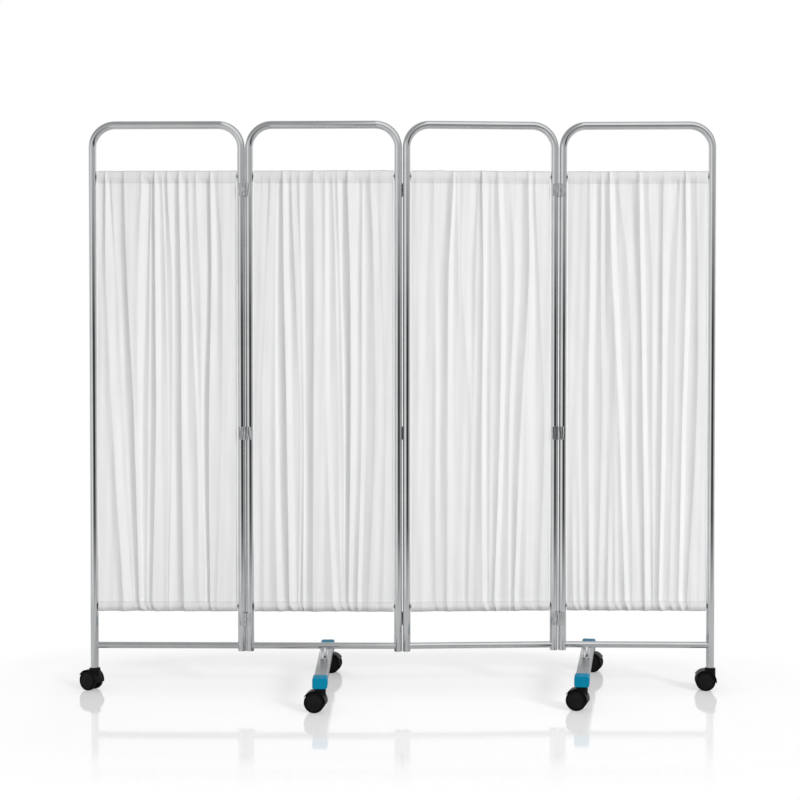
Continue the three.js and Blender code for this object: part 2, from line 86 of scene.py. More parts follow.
# Hinges: the side of the frame's leg, the face they are on and whether they carry the middle knuckle
HINGES = {
    1: [(1, -1, False)],
    2: [(-1, -1, True), (1, 1, False)],
    3: [(-1, 1, True), (1, -1, False)],
    4: [(-1, -1, True)],
}
HINGE_LABELS = ("top", "middle", "bottom")
HINGE_HEIGHT = 0.041
HINGE_REACH = 0.0149
HINGE_INSET = 0.248
LEAF_REACH = 0.02
LEAF_THICKNESS = 0.0016
LEAF_CORNER = 0.003
LEAF_BEVEL = 0.0003
LEAF_WELD_RADIUS = 0.0012
LEAF_WELD_POINTS = 25
KNUCKLE_RADIUS = 0.0032
KNUCKLE_GAP = 0.0004
KNUCKLE_BEVEL = 0.0004
KNUCKLE_SIDES = 36
PIN_RADIUS = 0.0015
PIN_SIDES = 28
PIN_HEAD_RADIUS = 0.0026
PIN_HEAD_THICKNESS = 0.0012
PIN_HEAD_EDGE = 0.0003
PIN_HEAD_LIFT = 0.0003
PIN_HEAD_STEPS = 6
PIN_UNDERSIDE_SHARE = 0.94
PIN_TIP_SHARE = 0.02

# Feet
FOOT_TURNS = {2: 0.6, 4: -9.8}
FOOT_LENGTH = 0.6
BAR_WIDTH = 0.04
BAR_HEIGHT = 0.028
BAR_CORNER = 0.004
BAR_BOTTOM = 0.0754
BAR_TOP = BAR_BOTTOM + BAR_HEIGHT
CORNER_STEPS = 6
CAP_LENGTH = 0.05
CAP_WIDTH = 0.0446
CAP_HEIGHT = 0.0326
CAP_BOTTOM = 0.0731
CAP_CORNER = 0.0063
CAP_CLEARANCE = 0.0004
CAP_END_ROUND = 0.0028
CAP_END_STEPS = 6
CAP_LIP = 0.0009
CAP_MOUTH_DEPTH = 0.006
POST_RADIUS = 0.0125
POST_TOP = 0.137
POST_BEVEL = 0.001
POST_SIDES = 48
WELD_RADIUS = 0.0014
WELD_SIDES = 10
WELD_WAVES = [(0.1, 2.6), (0.05, 1.7)]
RAIL_WELD_POINTS = 40
POST_WELD_POINTS = 20
SCREW_RADIUS = 0.0024
SCREW_SOCKET = 0.0012
SCREW_SOCKET_DEPTH = 0.0012
SCREW_BEVEL = 0.0003
SCREW_LIFT = 0.0006
SCREW_HEIGHT = 0.0055
SCREW_ANGLE = 40
SCREW_SIDES = 24

# Casters, each with the panel that it is under
CASTER_PANELS = {"left": 1, "2_front": 2, "2_rear": 2, "4_front": 4, "4_rear": 4, "right": 4}
WHEEL_RADIUS = 0.031
WHEEL_INNER = 0.007
WHEEL_OUTER = 0.023
WHEEL_SIDES = 64
AXLE_RADIUS = 0.004
AXLE_CLEARANCE = 0.0004
AXLE_END = 0.0185
BOSS_RADIUS = 0.007
WEB_HALF = 0.0065
WEB_ROOT_SHARE = 0.6
CAVITY_RADIUS = 0.0328
FENDER_RADIUS = 0.0348
FENDER_ROUND = 0.0022
FENDER_ROUND_STEPS = 5
FENDER_LIP = 0.0003
FENDER_OVERHANG = 0.0002
FENDER_START = -8
FENDER_END = 150
FENDER_STEPS = 44
CASTER_TRAIL = 0.015
CASTER_TOP = 0.071
NECK_RADIUS = 0.0175
NECK_ROUND = 0.002
NECK_ROUND_STEPS = 5
NECK_SINK = 0.001
NECK_SIDES = 56
COLLAR_BOTTOM = 0.0713
COLLAR_TOP = 0.0728
COLLAR_RADIUS = 0.008
SPINDLE_RADIUS = 0.004
SPINDLE_BOTTOM = 0.041
STEM_RADIUS = 0.005
STEM_TOP = 0.0948
SHAFT_SIDES = 32
PLUG_RADIUS = 0.0107
PLUG_TOP = 0.1088
STEM_BEVEL = 0.0006

# Outlines of a wheel in millimetres: how far each point lies in from the tread, and how far in from
# the wheel's inner or outer face
MILLIMETRE = 0.001
TYRE_INNER_FACE = [(8.5, 0.0), (7.5, 0.6), (2.0, 0.6), (0.7, 1.2), (0.1, 2.4), (0.0, 4.0)]
TYRE_OUTER_FACE = [
    (0.0, 4.4), (0.2, 2.8), (0.9, 1.5), (2.0, 0.5),
    (3.4, 0.0), (5.4, 0.0), (6.0, 0.3), (6.5, 2.2),
]
HUB_FACE = [
    (6.5, 2.4), (6.8, 1.3), (7.5, 1.0), (10.5, 1.0), (11.0, 1.3), (11.5, 1.3),
    (12.0, 1.0), (23.0, 0.8), (23.4, 1.1), (23.9, 1.1), (24.4, 0.7), (30.5, 0.5),
]

# Curtains
CURTAIN_HALF_WIDTH = 0.2205
TOP_EDGE = 1.648
TOP_SEAM = 1.61
BOTTOM_EDGE = 0.253
BOTTOM_SEAM = 0.283
POCKET_HALF = 0.0056
POCKET_SOFTNESS = 0.0012
POCKET_POWER = 0.7
SEAM_HALF = 0.0005
EDGE_HALF = 0.0007
EDGE_LIFT = 0.0007
SEAM_ALLOWANCE = 0.003
HEM_FULLNESS = 0.0025
SCOOP_SHIFT_SHARE = 0.03
SCOOP_HEIGHT = 0.042
COLUMNS = 320
BODY_ROWS = 96
POCKET_ROWS = 9
ROW_EASE_SHARE = 0.35
GATHER_RATIO = 1.3
LEAST_STEP = 1e-6

# Depths of the folds, of the small gathers and of the slow unevenness
FOLD_DEPTH = 0.0114
RUFFLE_DEPTH = 0.0003
DRIFT_DEPTH = 0.0011

# How much of a fold's left wall is steepest at its ridge, and how much of its right wall is straight
CREST_SHARE = 0.75
RIGHT_SHARE = 0.6

# How much of the folds and small gathers is left at the seams, what they lose from there to the rods
# and edges, and how far from the seams that reaches
TOP_SEAM_SHARE = 0.86
BOTTOM_SEAM_SHARE = 0.90
TOP_ROD_LOSS_SHARE = 0.06
EDGE_LOSS_SHARE = 0.10
TOP_FOLD_REACH = 0.1
BOTTOM_FOLD_REACH = 0.07
BOTTOM_RUFFLE_SHARE = 0.8
TOP_RUFFLE_REACH = 0.09
BOTTOM_RUFFLE_REACH = 0.06

# How much the ridges narrow and the valleys fill up from the seams to the edges
RIDGE_NARROWING = 1.5
TOP_FILL_SHARE = 0.7
BOTTOM_FILL_SHARE = 0.2

# Waves of unevenness: strength, turns across a curtain and shift from each curtain to the next.
# Those of the drift also shift down the curtain, and the first of them comes and goes.
RUFFLE_WAVES = [(0.9, 2.3, 0.17), (0.5, 5.1, 0.41)]
EDGE_WAVES = [(1.0, 3.1, 0.23), (0.6, 7.7, 0.57)]
SCOOP_WAVES = [(0.5, 2.7, 0.3)]
DRIFT_WAVES = [(0.6, 8.3, 0.3, 0.9), (0.4, 15.1, 0.7, -1.3)]
DRIFT_COUNT = 1.7
DRIFT_SHIFT = 0.2
RUFFLE_COUNT = 33
RUFFLE_SWING = 2.2

# Threads and stitches, with painted shade in the stitch dents and on the double-layered hem
THREAD_PITCH = 0.00055
STITCH_PITCH = 0.0032
STITCH_LENGTH_SHARE = 0.78
STITCH_HALF_WIDTH = 0.00045
STITCH_PAINTED_SHADE = 0.72
HEM_PAINTED_SHADE = 0.92
CLOTH_THROUGH_SHARE = 0.07

# Colours of each finish where it is darkest and where it is lightest
CHROME_TINTS = ((0.70, 0.715, 0.73), (0.77, 0.78, 0.79))
STEEL_TINTS = ((0.44, 0.45, 0.46), (0.54, 0.545, 0.55))
FOOT_STEEL_TINTS = ((0.36, 0.375, 0.385), (0.44, 0.455, 0.465))
BLUE_TINTS = ((0.001, 0.235, 0.40), (0.002, 0.27, 0.45))
BLACK_TINTS = ((0.003, 0.003, 0.003), (0.005, 0.005, 0.005))
HUB_TINTS = ((0.008, 0.008, 0.008), (0.012, 0.012, 0.012))
# The cloth's darker tint falls where its crease bump sinks: painted shade over a slight random tone
CLOTH_TINTS_WITH_CREASE_SHADE = ((0.852, 0.855, 0.859), (0.886, 0.886, 0.886))
THROUGH_TINT = (0.93, 0.93, 0.93, 1)
WHITE = (1, 1, 1, 1)

# Floor: its edges, how far it reaches before it is white, its greys, and the glow that the camera sees
# on it at places from the front to the back, lowest just behind the screen as a painted shadow
FLOOR_EDGES = (-2.6, 2.6, -1.6, 3.0)
FLOOR_CENTRE = -0.1
FLOOR_FADE_REACHES = (1.5, 1.0)
FLOOR_FADE_POWER = 4
FLOOR_FADE = [(0.64, 0.0), (0.80, 0.65), (1.0, 1.0)]
FLOOR_GREYS = (0.61, 0.63)
FLOOR_GLOWS_WITH_PAINTED_SHADOW = [
    (-1.2, 0.42), (-0.5, 0.385), (-0.1, 0.355),
    (0.08, 0.30), (0.4, 0.285), (0.8, 0.395),
]
FLOOR_MIRRORED = 0.6

# Surroundings: stops of a direction in degrees and a grey or a weight. Compass directions count
# from the front, positive to the right, and elevations from the horizon, positive upwards.
ROOM_LIGHT = 0.45
BEHIND_LIGHT = 0.85
BEHIND_SHARES = [
    (-180, 0.6), (-150, 1.0), (-105, 1.0), (-88, 0.0),
    (88, 0.0), (105, 0.1), (150, 0.2), (180, 0.6),
]
BEHIND_BAND = [(-30, 0.0), (-15, 1.0), (15, 1.0), (30, 0.0)]
PLAIN_GREYS = [
    (-180, 1.0), (-112, 0.95), (-80, 0.50), (-52, 0.70), (-35, 1.0), (-14, 0.54),
    (6, 0.54), (48, 0.46), (72, 0.58), (90, 0.50), (112, 0.95), (180, 1.0),
]
STRIP_GREYS = [
    (-180, 1.0), (-112, 0.95), (-80, 0.46), (-52, 0.68), (-36, 1.0), (-16, 0.55),
    (-4, 0.22), (2, 0.04), (49, 0.035), (64, 0.50), (92, 0.40), (112, 0.95),
]
STRIP_BAND = [(-8.5, 0.0), (-6.5, 1.0), (2, 1.0), (8, 0.0)]
OVERHEAD_GREYS = [
    (-180, 0.5), (-70, 0.36), (-7, 0.36), (-2, 0.92),
    (45, 0.92), (90, 0.45), (180, 0.5),
]
OVERHEAD_BAND = [(12, 0.0), (26, 1.0)]
LOW_GREYS = [
    (-180, 0.7), (-90, 0.6), (-7, 0.66), (-3, 0.34),
    (40, 0.34), (80, 0.55), (180, 0.7),
]
LOW_BAND = [(-13, 1.0), (-8.5, 0.0)]

# Lamp and camera
KEY_PLACE = (10.8, -12.5, 8.3)
KEY_TARGET = (0, 0, 0.9)
KEY_SIDE = 4.0
KEY_POWER = 1870
CAMERA_PLACE = (0.0072, -4.41, 1.019)
CAMERA_DROP = 1.235
SENSOR_WIDTH = 36
FOCAL_PIXELS = 1391
PICTURE_PIXELS = 800

# Folds of each curtain from left to right. Each row is a ridge or a valley: its four places across
# the curtain, in thousandths of its width, then how far it stands forward at each, in hundredths of
# the fold depth, at the four levels of FOLD_LEVELS from the top down. Two ridges that run together
# make a broad V.
FOLD_LEVELS = (0.96, 0.76, 0.42, 0.03)
PLACE_SCALE = 1000
DEPTH_SCALE = 100
FOLD_SHARES = {
    1: [
        (0, 0, 0, 0, 30, 20, 30, 30),
        (35, 30, 60, 120, -10, 0, 10, -40),
        (62, 60, 105, 178, 60, 40, 40, 60),
        (88, 120, 160, 240, -20, -20, -40, -60),
        (103, 135, 180, 250, 20, -15, -40, -55),
        (165, 165, 205, 255, -10, -40, -60, -60),
        (197, 213, 262, 292, 70, 70, 60, 60),
        (300, 250, 285, 300, 30, 55, 40, 40),
        (320, 290, 290, 303, 55, 50, 40, 40),
        (368, 350, 318, 322, -60, -50, -50, -30),
        (385, 372, 360, 345, -20, -10, -5, -10),
        (390, 385, 375, 355, -30, -20, -20, -35),
        (415, 417, 420, 388, 80, 80, 80, 60),
        (447, 452, 460, 465, -10, -20, 0, 0),
        (470, 488, 500, 485, 35, 15, 5, 10),
        (478, 498, 515, 495, 10, -5, -10, 5),
        (505, 535, 530, 505, 70, 25, -5, 25),
        (553, 555, 550, 565, -20, -20, -30, -50),
        (590, 600, 605, 615, 80, 80, 80, 80),
        (627, 640, 650, 695, -10, -10, 0, 0),
        (655, 670, 710, 725, 35, 35, 40, 20),
        (685, 690, 735, 770, 10, 5, -10, -10),
        (710, 735, 745, 775, 50, 30, -15, -15),
        (780, 787, 755, 780, -50, -40, -50, -40),
        (815, 820, 800, 803, 80, 70, 70, 50),
        (845, 860, 865, 828, 10, 10, 30, 20),
        (870, 900, 893, 855, 50, 60, 50, 50),
        (1000, 1000, 1000, 1000, 10, 0, 0, 0),
    ],
    2: [
        (0, 0, 0, 0, 40, 40, 30, 50),
        (100, 70, 30, 30, 0, 25, 20, 0),
        (118, 90, 55, 70, 35, 35, 40, 15),
        (155, 140, 110, 110, 0, 10, -10, -10),
        (165, 155, 150, 160, 0, 10, 10, 50),
        (175, 168, 172, 205, -20, -40, -60, -40),
        (210, 215, 235, 250, 70, 70, 70, 60),
        (248, 255, 280, 300, -10, -20, -20, -30),
        (268, 295, 330, 315, 40, 50, 0, -10),
        (305, 330, 345, 325, 15, 30, -10, -30),
        (325, 340, 355, 348, 50, 40, -5, 30),
        (365, 365, 370, 370, 0, -30, -30, -30),
        (427, 430, 427, 420, 80, 80, 80, 60),
        (478, 490, 500, 500, 10, 40, 35, 0),
        (510, 510, 520, 562, 50, 45, 35, 50),
        (537, 540, 555, 600, -10, -30, -10, -30),
        (565, 585, 600, 625, 30, 10, -5, -10),
        (580, 600, 620, 635, 15, -10, -20, -30),
        (600, 615, 640, 640, 40, 0, -10, -25),
        (632, 635, 652, 645, -20, -50, -40, -50),
        (672, 690, 693, 677, 80, 80, 80, 20),
        (752, 745, 742, 705, -10, -10, -10, -20),
        (778, 772, 772, 742, 20, 25, 30, 50),
        (795, 800, 805, 770, -10, -10, -10, -10),
        (835, 860, 868, 822, 60, 50, 40, 50),
        (875, 905, 930, 890, 20, 15, 20, 20),
        (900, 920, 940, 925, 35, 25, 25, 35),
        (1000, 1000, 1000, 1000, 0, 0, 0, 0),
    ],
    3: [
        (0, 0, 0, 0, 20, 20, 30, 30),
        (35, 50, 50, 60, 30, 30, 40, 30),
        (140, 115, 120, 145, 0, -10, -10, -30),
        (160, 170, 175, 175, 15, 15, 35, 10),
        (250, 205, 205, 215, -10, -20, 0, -10),
        (300, 267, 262, 257, 75, 70, 70, 60),
        (315, 300, 310, 300, 20, 10, 10, 10),
        (332, 340, 375, 370, 35, 35, 10, 10),
        (345, 345, 385, 385, 20, 30, 10, -5),
        (375, 360, 430, 412, 40, 35, 30, 30),
        (468, 430, 440, 420, -20, -10, 25, 25),
        (480, 460, 450, 430, 0, 20, 20, 20),
        (485, 480, 460, 445, 5, 15, 15, 15),
        (507, 517, 507, 513, 90, 80, 80, 70),
        (555, 545, 540, 548, -10, -10, -10, -10),
        (575, 575, 567, 565, 15, 20, 20, 10),
        (585, 597, 592, 570, 10, 10, 10, 10),
        (625, 645, 637, 600, 70, 70, 70, 70),
        (665, 685, 670, 635, 0, -10, -10, -10),
        (712, 742, 705, 702, 30, 35, 25, 35),
        (795, 790, 733, 716, -20, -20, 0, 10),
        (842, 845, 788, 743, 80, 75, 75, 80),
        (850, 860, 820, 778, 60, 50, 50, 0),
        (857, 870, 850, 820, 45, 25, 28, 40),
        (862, 880, 870, 850, 35, 5, 10, 30),
        (870, 887, 900, 882, 20, -10, -20, 0),
        (890, 917, 960, 925, 50, 30, 25, 30),
        (1000, 1000, 1000, 1000, 10, 10, 20, 20),
    ],
    4: [
        (0, 0, 0, 0, 30, 30, 30, 0),
        (30, 30, 30, 45, 30, 30, 30, 40),
        (70, 60, 60, 70, 25, 25, 25, 10),
        (100, 90, 80, 92, 25, 25, 20, 30),
        (130, 120, 100, 120, 20, 20, 5, -10),
        (155, 158, 152, 158, 45, 50, 50, 60),
        (205, 205, 195, 192, -10, -20, -10, -10),
        (237, 238, 247, 222, 40, 30, 35, 20),
        (263, 268, 283, 260, 10, 10, 20, 0),
        (270, 280, 300, 292, 25, 25, 28, 40),
        (278, 290, 320, 322, 45, 40, 40, 5),
        (284, 297, 335, 347, 60, 50, 50, 30),
        (290, 305, 350, 372, 75, 65, 60, -10),
        (297, 318, 372, 417, 90, 85, 75, 50),
        (337, 362, 412, 447, -10, -10, -10, -20),
        (362, 435, 463, 472, 25, 30, 35, 10),
        (445, 483, 492, 532, -10, 0, 10, -20),
        (510, 522, 542, 560, 80, 80, 80, 50),
        (540, 558, 578, 607, 0, -10, -10, -20),
        (575, 603, 610, 620, 35, 25, 25, 5),
        (643, 643, 638, 627, -20, -10, 0, 0),
        (682, 678, 678, 660, 50, 60, 65, 70),
        (775, 730, 714, 688, -30, -15, -15, -15),
        (800, 780, 762, 735, 15, 30, 30, 30),
        (818, 812, 792, 763, 10, 10, 10, 5),
        (840, 848, 823, 803, 70, 60, 55, 55),
        (878, 883, 857, 833, -20, -40, -40, -30),
        (922, 932, 925, 865, 30, 40, 40, 30),
        (980, 970, 965, 950, 20, 30, 30, 20),
        (1000, 1000, 1000, 1000, 10, 10, 10, 10),
    ],
}


# Places of panels, feet and casters


def turned_place(x, y, degrees):
    return Matrix.Translation((x, y, 0)) @ Matrix.Rotation(math.radians(degrees), 4, "Z")


def middle(node_name):
    low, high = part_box(node_name)
    return (low + high) / 2


def panel_place(number):
    centre = middle(f"top_rod_{number}")
    return turned_place(centre.x, centre.y, FRAME_TURNS[number])


def foot_place(number):
    centre = middle(f"foot_bar_{number}")
    return turned_place(centre.x, centre.y, FOOT_TURNS[number])


def caster_place(name):
    """The origin on the floor under the swivel, with the wheels trailing towards -X."""
    joint = next(j for j in frame["joints"] if j["name"] == f"swivel_{name}")
    swivel = Vector(joint["pos_m"])
    axle = (middle(f"wheel_{name}_near") + middle(f"wheel_{name}_far")) / 2
    forward = swivel - axle
    return turned_place(swivel.x, swivel.y, math.degrees(math.atan2(forward.y, forward.x)))


# Forms: lists of points and of faces


TO_X = Matrix.Rotation(math.radians(90), 4, "Y")
TO_FRONT = Matrix.Rotation(math.radians(90), 4, "X")
TO_BACK = Matrix.Rotation(math.radians(-90), 4, "X")


def joined(*forms):
    points, faces = [], []
    for form_points, form_faces in forms:
        start = len(points)
        points += form_points
        faces += [[start + i for i in face] for face in form_faces]
    return points, faces


def moved(form, matrix):
    return [tuple(matrix @ Vector(p)) for p in form[0]], form[1]


def circle(radius, sides, start=0):
    """Points round the origin, the first of them turned by a share of a side."""
    angles = [2 * math.pi * (i + start) / sides for i in range(sides)]
    return [(radius * math.cos(angle), radius * math.sin(angle)) for angle in angles]


def quarter(steps):
    """Cosines and sines through a quarter turn, with both of its ends."""
    angles = [math.pi / 2 * step / steps for step in range(steps + 1)]
    return [(math.cos(angle), math.sin(angle)) for angle in angles]


def grid_faces(rows, columns, closed=True):
    """Quads between rows of points. Each row is closed on itself or open."""
    faces = []
    for row in range(rows - 1):
        low, high = row * columns, (row + 1) * columns
        for i in range(columns if closed else columns - 1):
            j = (i + 1) % columns
            faces.append([low + i, low + j, high + j, high + i])
    return faces


def loft(rings, close_start=False, close_end=False):
    """A skin over rings of the same number of points, each ring closed on itself."""
    count = len(rings[0])
    faces = grid_faces(len(rings), count)
    if close_start:
        faces.append(list(reversed(range(count))))
    if close_end:
        start = (len(rings) - 1) * count
        faces.append([start + i for i in range(count)])
    return [point for ring in rings for point in ring], faces


def turned(rows, sides):
    """A closed piece turned about Z from rows of radius and height."""
    rings = [[(x, y, height) for x, y in circle(radius, sides)] for radius, height in rows]
    return loft(rings, close_start=True, close_end=True)


def rod_along_x(radius, half_length, height):
    rod = turned([(radius, -half_length), (radius, half_length)], ROD_SIDES)
    return moved(rod, Matrix.Translation((0, 0, height)) @ TO_X)


def rounded_ring(width, height, radius, y):
    """A rectangle with round corners in the plane of X and Z, at one y."""
    ring = []
    for corner in range(4):
        centre_x = (1 if corner in (0, 3) else -1) * (width / 2 - radius)
        centre_z = (1 if corner < 2 else -1) * (height / 2 - radius)
        for step in range(CORNER_STEPS + 1):
            angle = math.pi / 2 * (corner + step / CORNER_STEPS)
            ring.append((centre_x + radius * math.cos(angle), y, centre_z + radius * math.sin(angle)))
    return ring


def rounded_plate(width, height, thickness, radius, bevel):
    """A plate in XZ about the origin, from y 0 to its thickness, with eased edges."""
    rings = []
    for inset, y in ((bevel, 0), (0, bevel), (0, thickness - bevel), (bevel, thickness)):
        rings.append(rounded_ring(width - 2 * inset, height - 2 * inset, radius, y))
    return loft(rings, close_start=True, close_end=True)


def bead(centres, radius, closed=True):
    """A weld bead along a closed or open line of points, a little uneven along its length."""
    count = len(centres)
    rings = []
    for i, centre in enumerate(centres):
        after = centres[(i + 1) % count] if closed or i + 1 < count else centre
        before = centres[i - 1] if closed or i > 0 else centre
        tangent = (Vector(after) - Vector(before)).normalized()
        side = tangent.orthogonal() if abs(tangent.z) > 0.9 else tangent.cross(Vector((0, 0, 1)))
        side.normalize()
        up = side.cross(tangent)
        swell = radius * (1 + sum(strength * math.sin(turn * i) for strength, turn in WELD_WAVES))
        rings.append([tuple(Vector(centre) + x * side + y * up) for x, y in circle(swell, WELD_SIDES)])
    if closed:
        rings.append(rings[0])
    return loft(rings, close_start=not closed, close_end=not closed)


# Objects


def new_mesh(name, points, faces):
    mesh = bpy.data.meshes.new(name)
    mesh.from_pydata(points, [], faces)
    return mesh


def linked(name, data):
    made = bpy.data.objects.new(name, data)
    bpy.context.scene.collection.objects.link(made)
    return made


def shown(name, mesh, material, body, replaces):
    made = linked(name, mesh)
    mesh.materials.append(material)
    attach(made, body)
    if replaces:
        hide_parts(*replaces)
    return made


def piece(name, form, material, body, place, replaces=(), sharp=35):
    """Makes the object of a form, puts it in its place and lets it ride on a body."""
    mesh = new_mesh(name, *form)
    mesh.transform(place)
    mesh.validate()
    mesh.shade_smooth()
    mesh.set_sharp_from_angle(angle=math.radians(sharp))
    return shown(name, mesh, material, body, replaces)


# Materials


def feed(tree, made, inputs):
    """Links the sockets among the inputs of a node and sets the others to their values."""
    for key, value in inputs.items():
        if isinstance(value, bpy.types.NodeSocket):
            tree.links.new(value, made.inputs[key])
        else:
            made.inputs[key].default_value = value


def node(tree, kind, inputs=None, **settings):
    made = tree.nodes.new(kind)
    for key, value in settings.items():
        setattr(made, key, value)
    feed(tree, made, inputs or {})
    return made


def maths(tree, operation, *values):
    return node(tree, "ShaderNodeMath", dict(enumerate(values)), operation=operation).outputs[0]


def split(tree, vector):
    return node(tree, "ShaderNodeSeparateXYZ", {"Vector": vector}).outputs


def ramp(tree, value, stops, smooth=False):
    """A colour ramp from stops of place and grey or colour."""
    made = node(tree, "ShaderNodeValToRGB", {"Fac": value})
    made.color_ramp.interpolation = "EASE" if smooth else "LINEAR"
    elements = made.color_ramp.elements
    while len(elements) < len(stops):
        elements.new(0.5)
    for element, (place, colour) in zip(elements, stops):
        element.position = place
        element.color = (*colour, 1) if isinstance(colour, tuple) else (colour, colour, colour, 1)
    return made.outputs["Color"]


def clouded(tree, clouds, tints, low=0.3, high=0.7):
    return ramp(tree, clouds, [(low, tints[0]), (high, tints[1])])


def mixed_colours(tree, weight, first, second, blend="MIX"):
    inputs = {0: weight, 6: first, 7: second}
    return node(tree, "ShaderNodeMix", inputs, data_type="RGBA", blend_type=blend).outputs[2]


def mixed_shaders(tree, weight, first, second):
    return node(tree, "ShaderNodeMixShader", {0: weight, 1: first.outputs[0], 2: second.outputs[0]})


def new_material(name):
    material = bpy.data.materials.new(name)
    material.use_nodes = True
    tree = material.node_tree
    place = node(tree, "ShaderNodeTexCoord").outputs["Object"]
    return material, tree, tree.nodes["Principled BSDF"], place


def noise(tree, place, scale, detail=3.0, roughness=0.5, stretch=(1, 1, 1)):
    shaped = node(tree, "ShaderNodeMapping", {"Vector": place, "Scale": stretch}).outputs[0]
    inputs = {"Vector": shaped, "Scale": scale, "Detail": detail, "Roughness": roughness}
    return node(tree, "ShaderNodeTexNoise", inputs).outputs["Fac"]


def bump(tree, height, distance, below=None):
    inputs = {"Height": height, "Distance": distance, "Strength": 1.0}
    if below is not None:
        inputs["Normal"] = below
    return node(tree, "ShaderNodeBump", inputs).outputs["Normal"]


def chrome_material(name, dullness, wave_scale, wave_depth):
    """Bright plated steel: drawn waviness, fine rubbing marks and a little dulling."""
    material, tree, shader, place = new_material(name)
    clouds = noise(tree, place, scale=14, detail=4)
    rubbed = noise(tree, place, scale=900, detail=2, stretch=(1, 1, 0.04))
    waves = noise(tree, place, wave_scale, detail=1, stretch=(1, 1, 0.12))
    marks = maths(tree, "MULTIPLY_ADD", rubbed, 0.05, maths(tree, "MULTIPLY", clouds, 0.06))
    feed(tree, shader, {
        "Base Color": clouded(tree, clouds, CHROME_TINTS),
        "Roughness": maths(tree, "ADD", marks, dullness),
        "Metallic": 1,
        "Normal": bump(tree, rubbed, 0.000004, below=bump(tree, waves, wave_depth)),
    })
    return material


def steel_material():
    """Satin drawn steel of rods, pins and stems."""
    material, tree, shader, place = new_material("plain_steel")
    clouds = noise(tree, place, scale=30)
    grain = noise(tree, place, scale=1600, detail=2, stretch=(0.05, 1, 1))
    feed(tree, shader, {
        "Base Color": clouded(tree, clouds, STEEL_TINTS),
        "Roughness": maths(tree, "MULTIPLY_ADD", grain, 0.2, 0.18),
        "Metallic": 1,
        "Normal": bump(tree, grain, 0.00001),
    })
    return material


def foot_steel_material():
    """Polished box section: brushed lines along it, smears and small scratches."""
    material, tree, shader, place = new_material("foot_steel")
    lines = noise(tree, place, scale=2200, stretch=(1, 0.02, 1))
    smears = noise(tree, place, scale=26, detail=5, roughness=0.6, stretch=(1, 0.5, 1))
    marks = maths(tree, "MULTIPLY_ADD", smears, 0.16, maths(tree, "MULTIPLY", lines, 0.12))
    feed(tree, shader, {
        "Base Color": clouded(tree, smears, FOOT_STEEL_TINTS, low=0.35, high=0.65),
        "Roughness": maths(tree, "ADD", marks, 0.18),
        "Metallic": 1,
        "Normal": bump(tree, lines, 0.000012),
    })
    return material


def moulded_material(name, tints, roughness, shine, grain_scale, grain_depth):
    """Moulded plastic with a fine grain, rubbed smoother and a touch lighter in places."""
    material, tree, shader, place = new_material(name)
    clouds = noise(tree, place, scale=35, detail=4)
    feed(tree, shader, {
        "Base Color": clouded(tree, clouds, tints, high=0.72),
        "Roughness": maths(tree, "MULTIPLY_ADD", clouds, 0.16, roughness - 0.08),
        "Specular IOR Level": shine,
        "Normal": bump(tree, noise(tree, place, grain_scale, detail=2), grain_depth),
    })
    return material


def seam_stitches(tree, along, across, seam):
    """1 on the stitches of a seam that lies at one place along the cloth, 0 elsewhere."""
    off_line = maths(tree, "ABSOLUTE", maths(tree, "SUBTRACT", along, seam))
    on_line = maths(tree, "LESS_THAN", off_line, STITCH_HALF_WIDTH)
    step = maths(tree, "FRACT", maths(tree, "MULTIPLY", across, 1 / STITCH_PITCH))
    return maths(tree, "MULTIPLY", on_line, maths(tree, "LESS_THAN", step, STITCH_LENGTH_SHARE))


def cloth_material(seams):
    """Thin white cloth: plain weave, stitched seams, slight slubs, and light coming through it. Its tint
    is painted darker as shade in the sunk creases of its bump, in the stitch dents and on the
    double-layered hem.
    """
    material, tree, shader, place = new_material("curtain_cloth")
    uv = node(tree, "ShaderNodeUVMap", uv_map="cloth").outputs["UV"]
    parts = split(tree, uv)
    across, along = parts["X"], parts["Y"]
    warp = maths(tree, "SINE", maths(tree, "MULTIPLY", across, 2 * math.pi / THREAD_PITCH))
    weft = maths(tree, "SINE", maths(tree, "MULTIPLY", along, 2 * math.pi / THREAD_PITCH))
    weave = maths(tree, "MULTIPLY", warp, weft)
    slubs = noise(tree, uv, scale=420, stretch=(1, 0.12, 1))
    creases_with_painted_shade = noise(tree, place, scale=26, detail=4, stretch=(1, 1, 0.3))
    stitches = seam_stitches(tree, along, across, seams[0])
    for seam in seams[1:]:
        stitches = maths(tree, "MAXIMUM", stitches, seam_stitches(tree, along, across, seam))
    on_hem = maths(tree, "LESS_THAN", along, seams[1])
    # The tint follows the crease bump and is darker where it sinks. The stitches and the hem are darkened
    # too. All three are painted shade: in the creases, in the stitch dents and on the double-layered hem.
    tint = clouded(tree, creases_with_painted_shade, CLOTH_TINTS_WITH_CREASE_SHADE)
    for where, shade in ((stitches, STITCH_PAINTED_SHADE), (on_hem, HEM_PAINTED_SHADE)):
        tint = mixed_colours(tree, 1.0, tint, ramp(tree, where, [(0, 1.0), (1, shade)]), "MULTIPLY")
    normal = bump(tree, creases_with_painted_shade, 0.0006)
    for height, depth in ((slubs, 0.00006), (weave, 0.00003), (stitches, -0.0003)):
        normal = bump(tree, height, depth, below=normal)
    feed(tree, shader, {"Base Color": tint, "Roughness": 0.86, "Sheen Weight": 0.12, "Normal": normal})
    through = node(tree, "ShaderNodeBsdfTranslucent", {"Color": THROUGH_TINT, "Normal": normal})
    mix = mixed_shaders(tree, CLOTH_THROUGH_SHARE, shader, through)
    feed(tree, tree.nodes["Material Output"], {"Surface": mix.outputs[0]})
    return material


# Frames


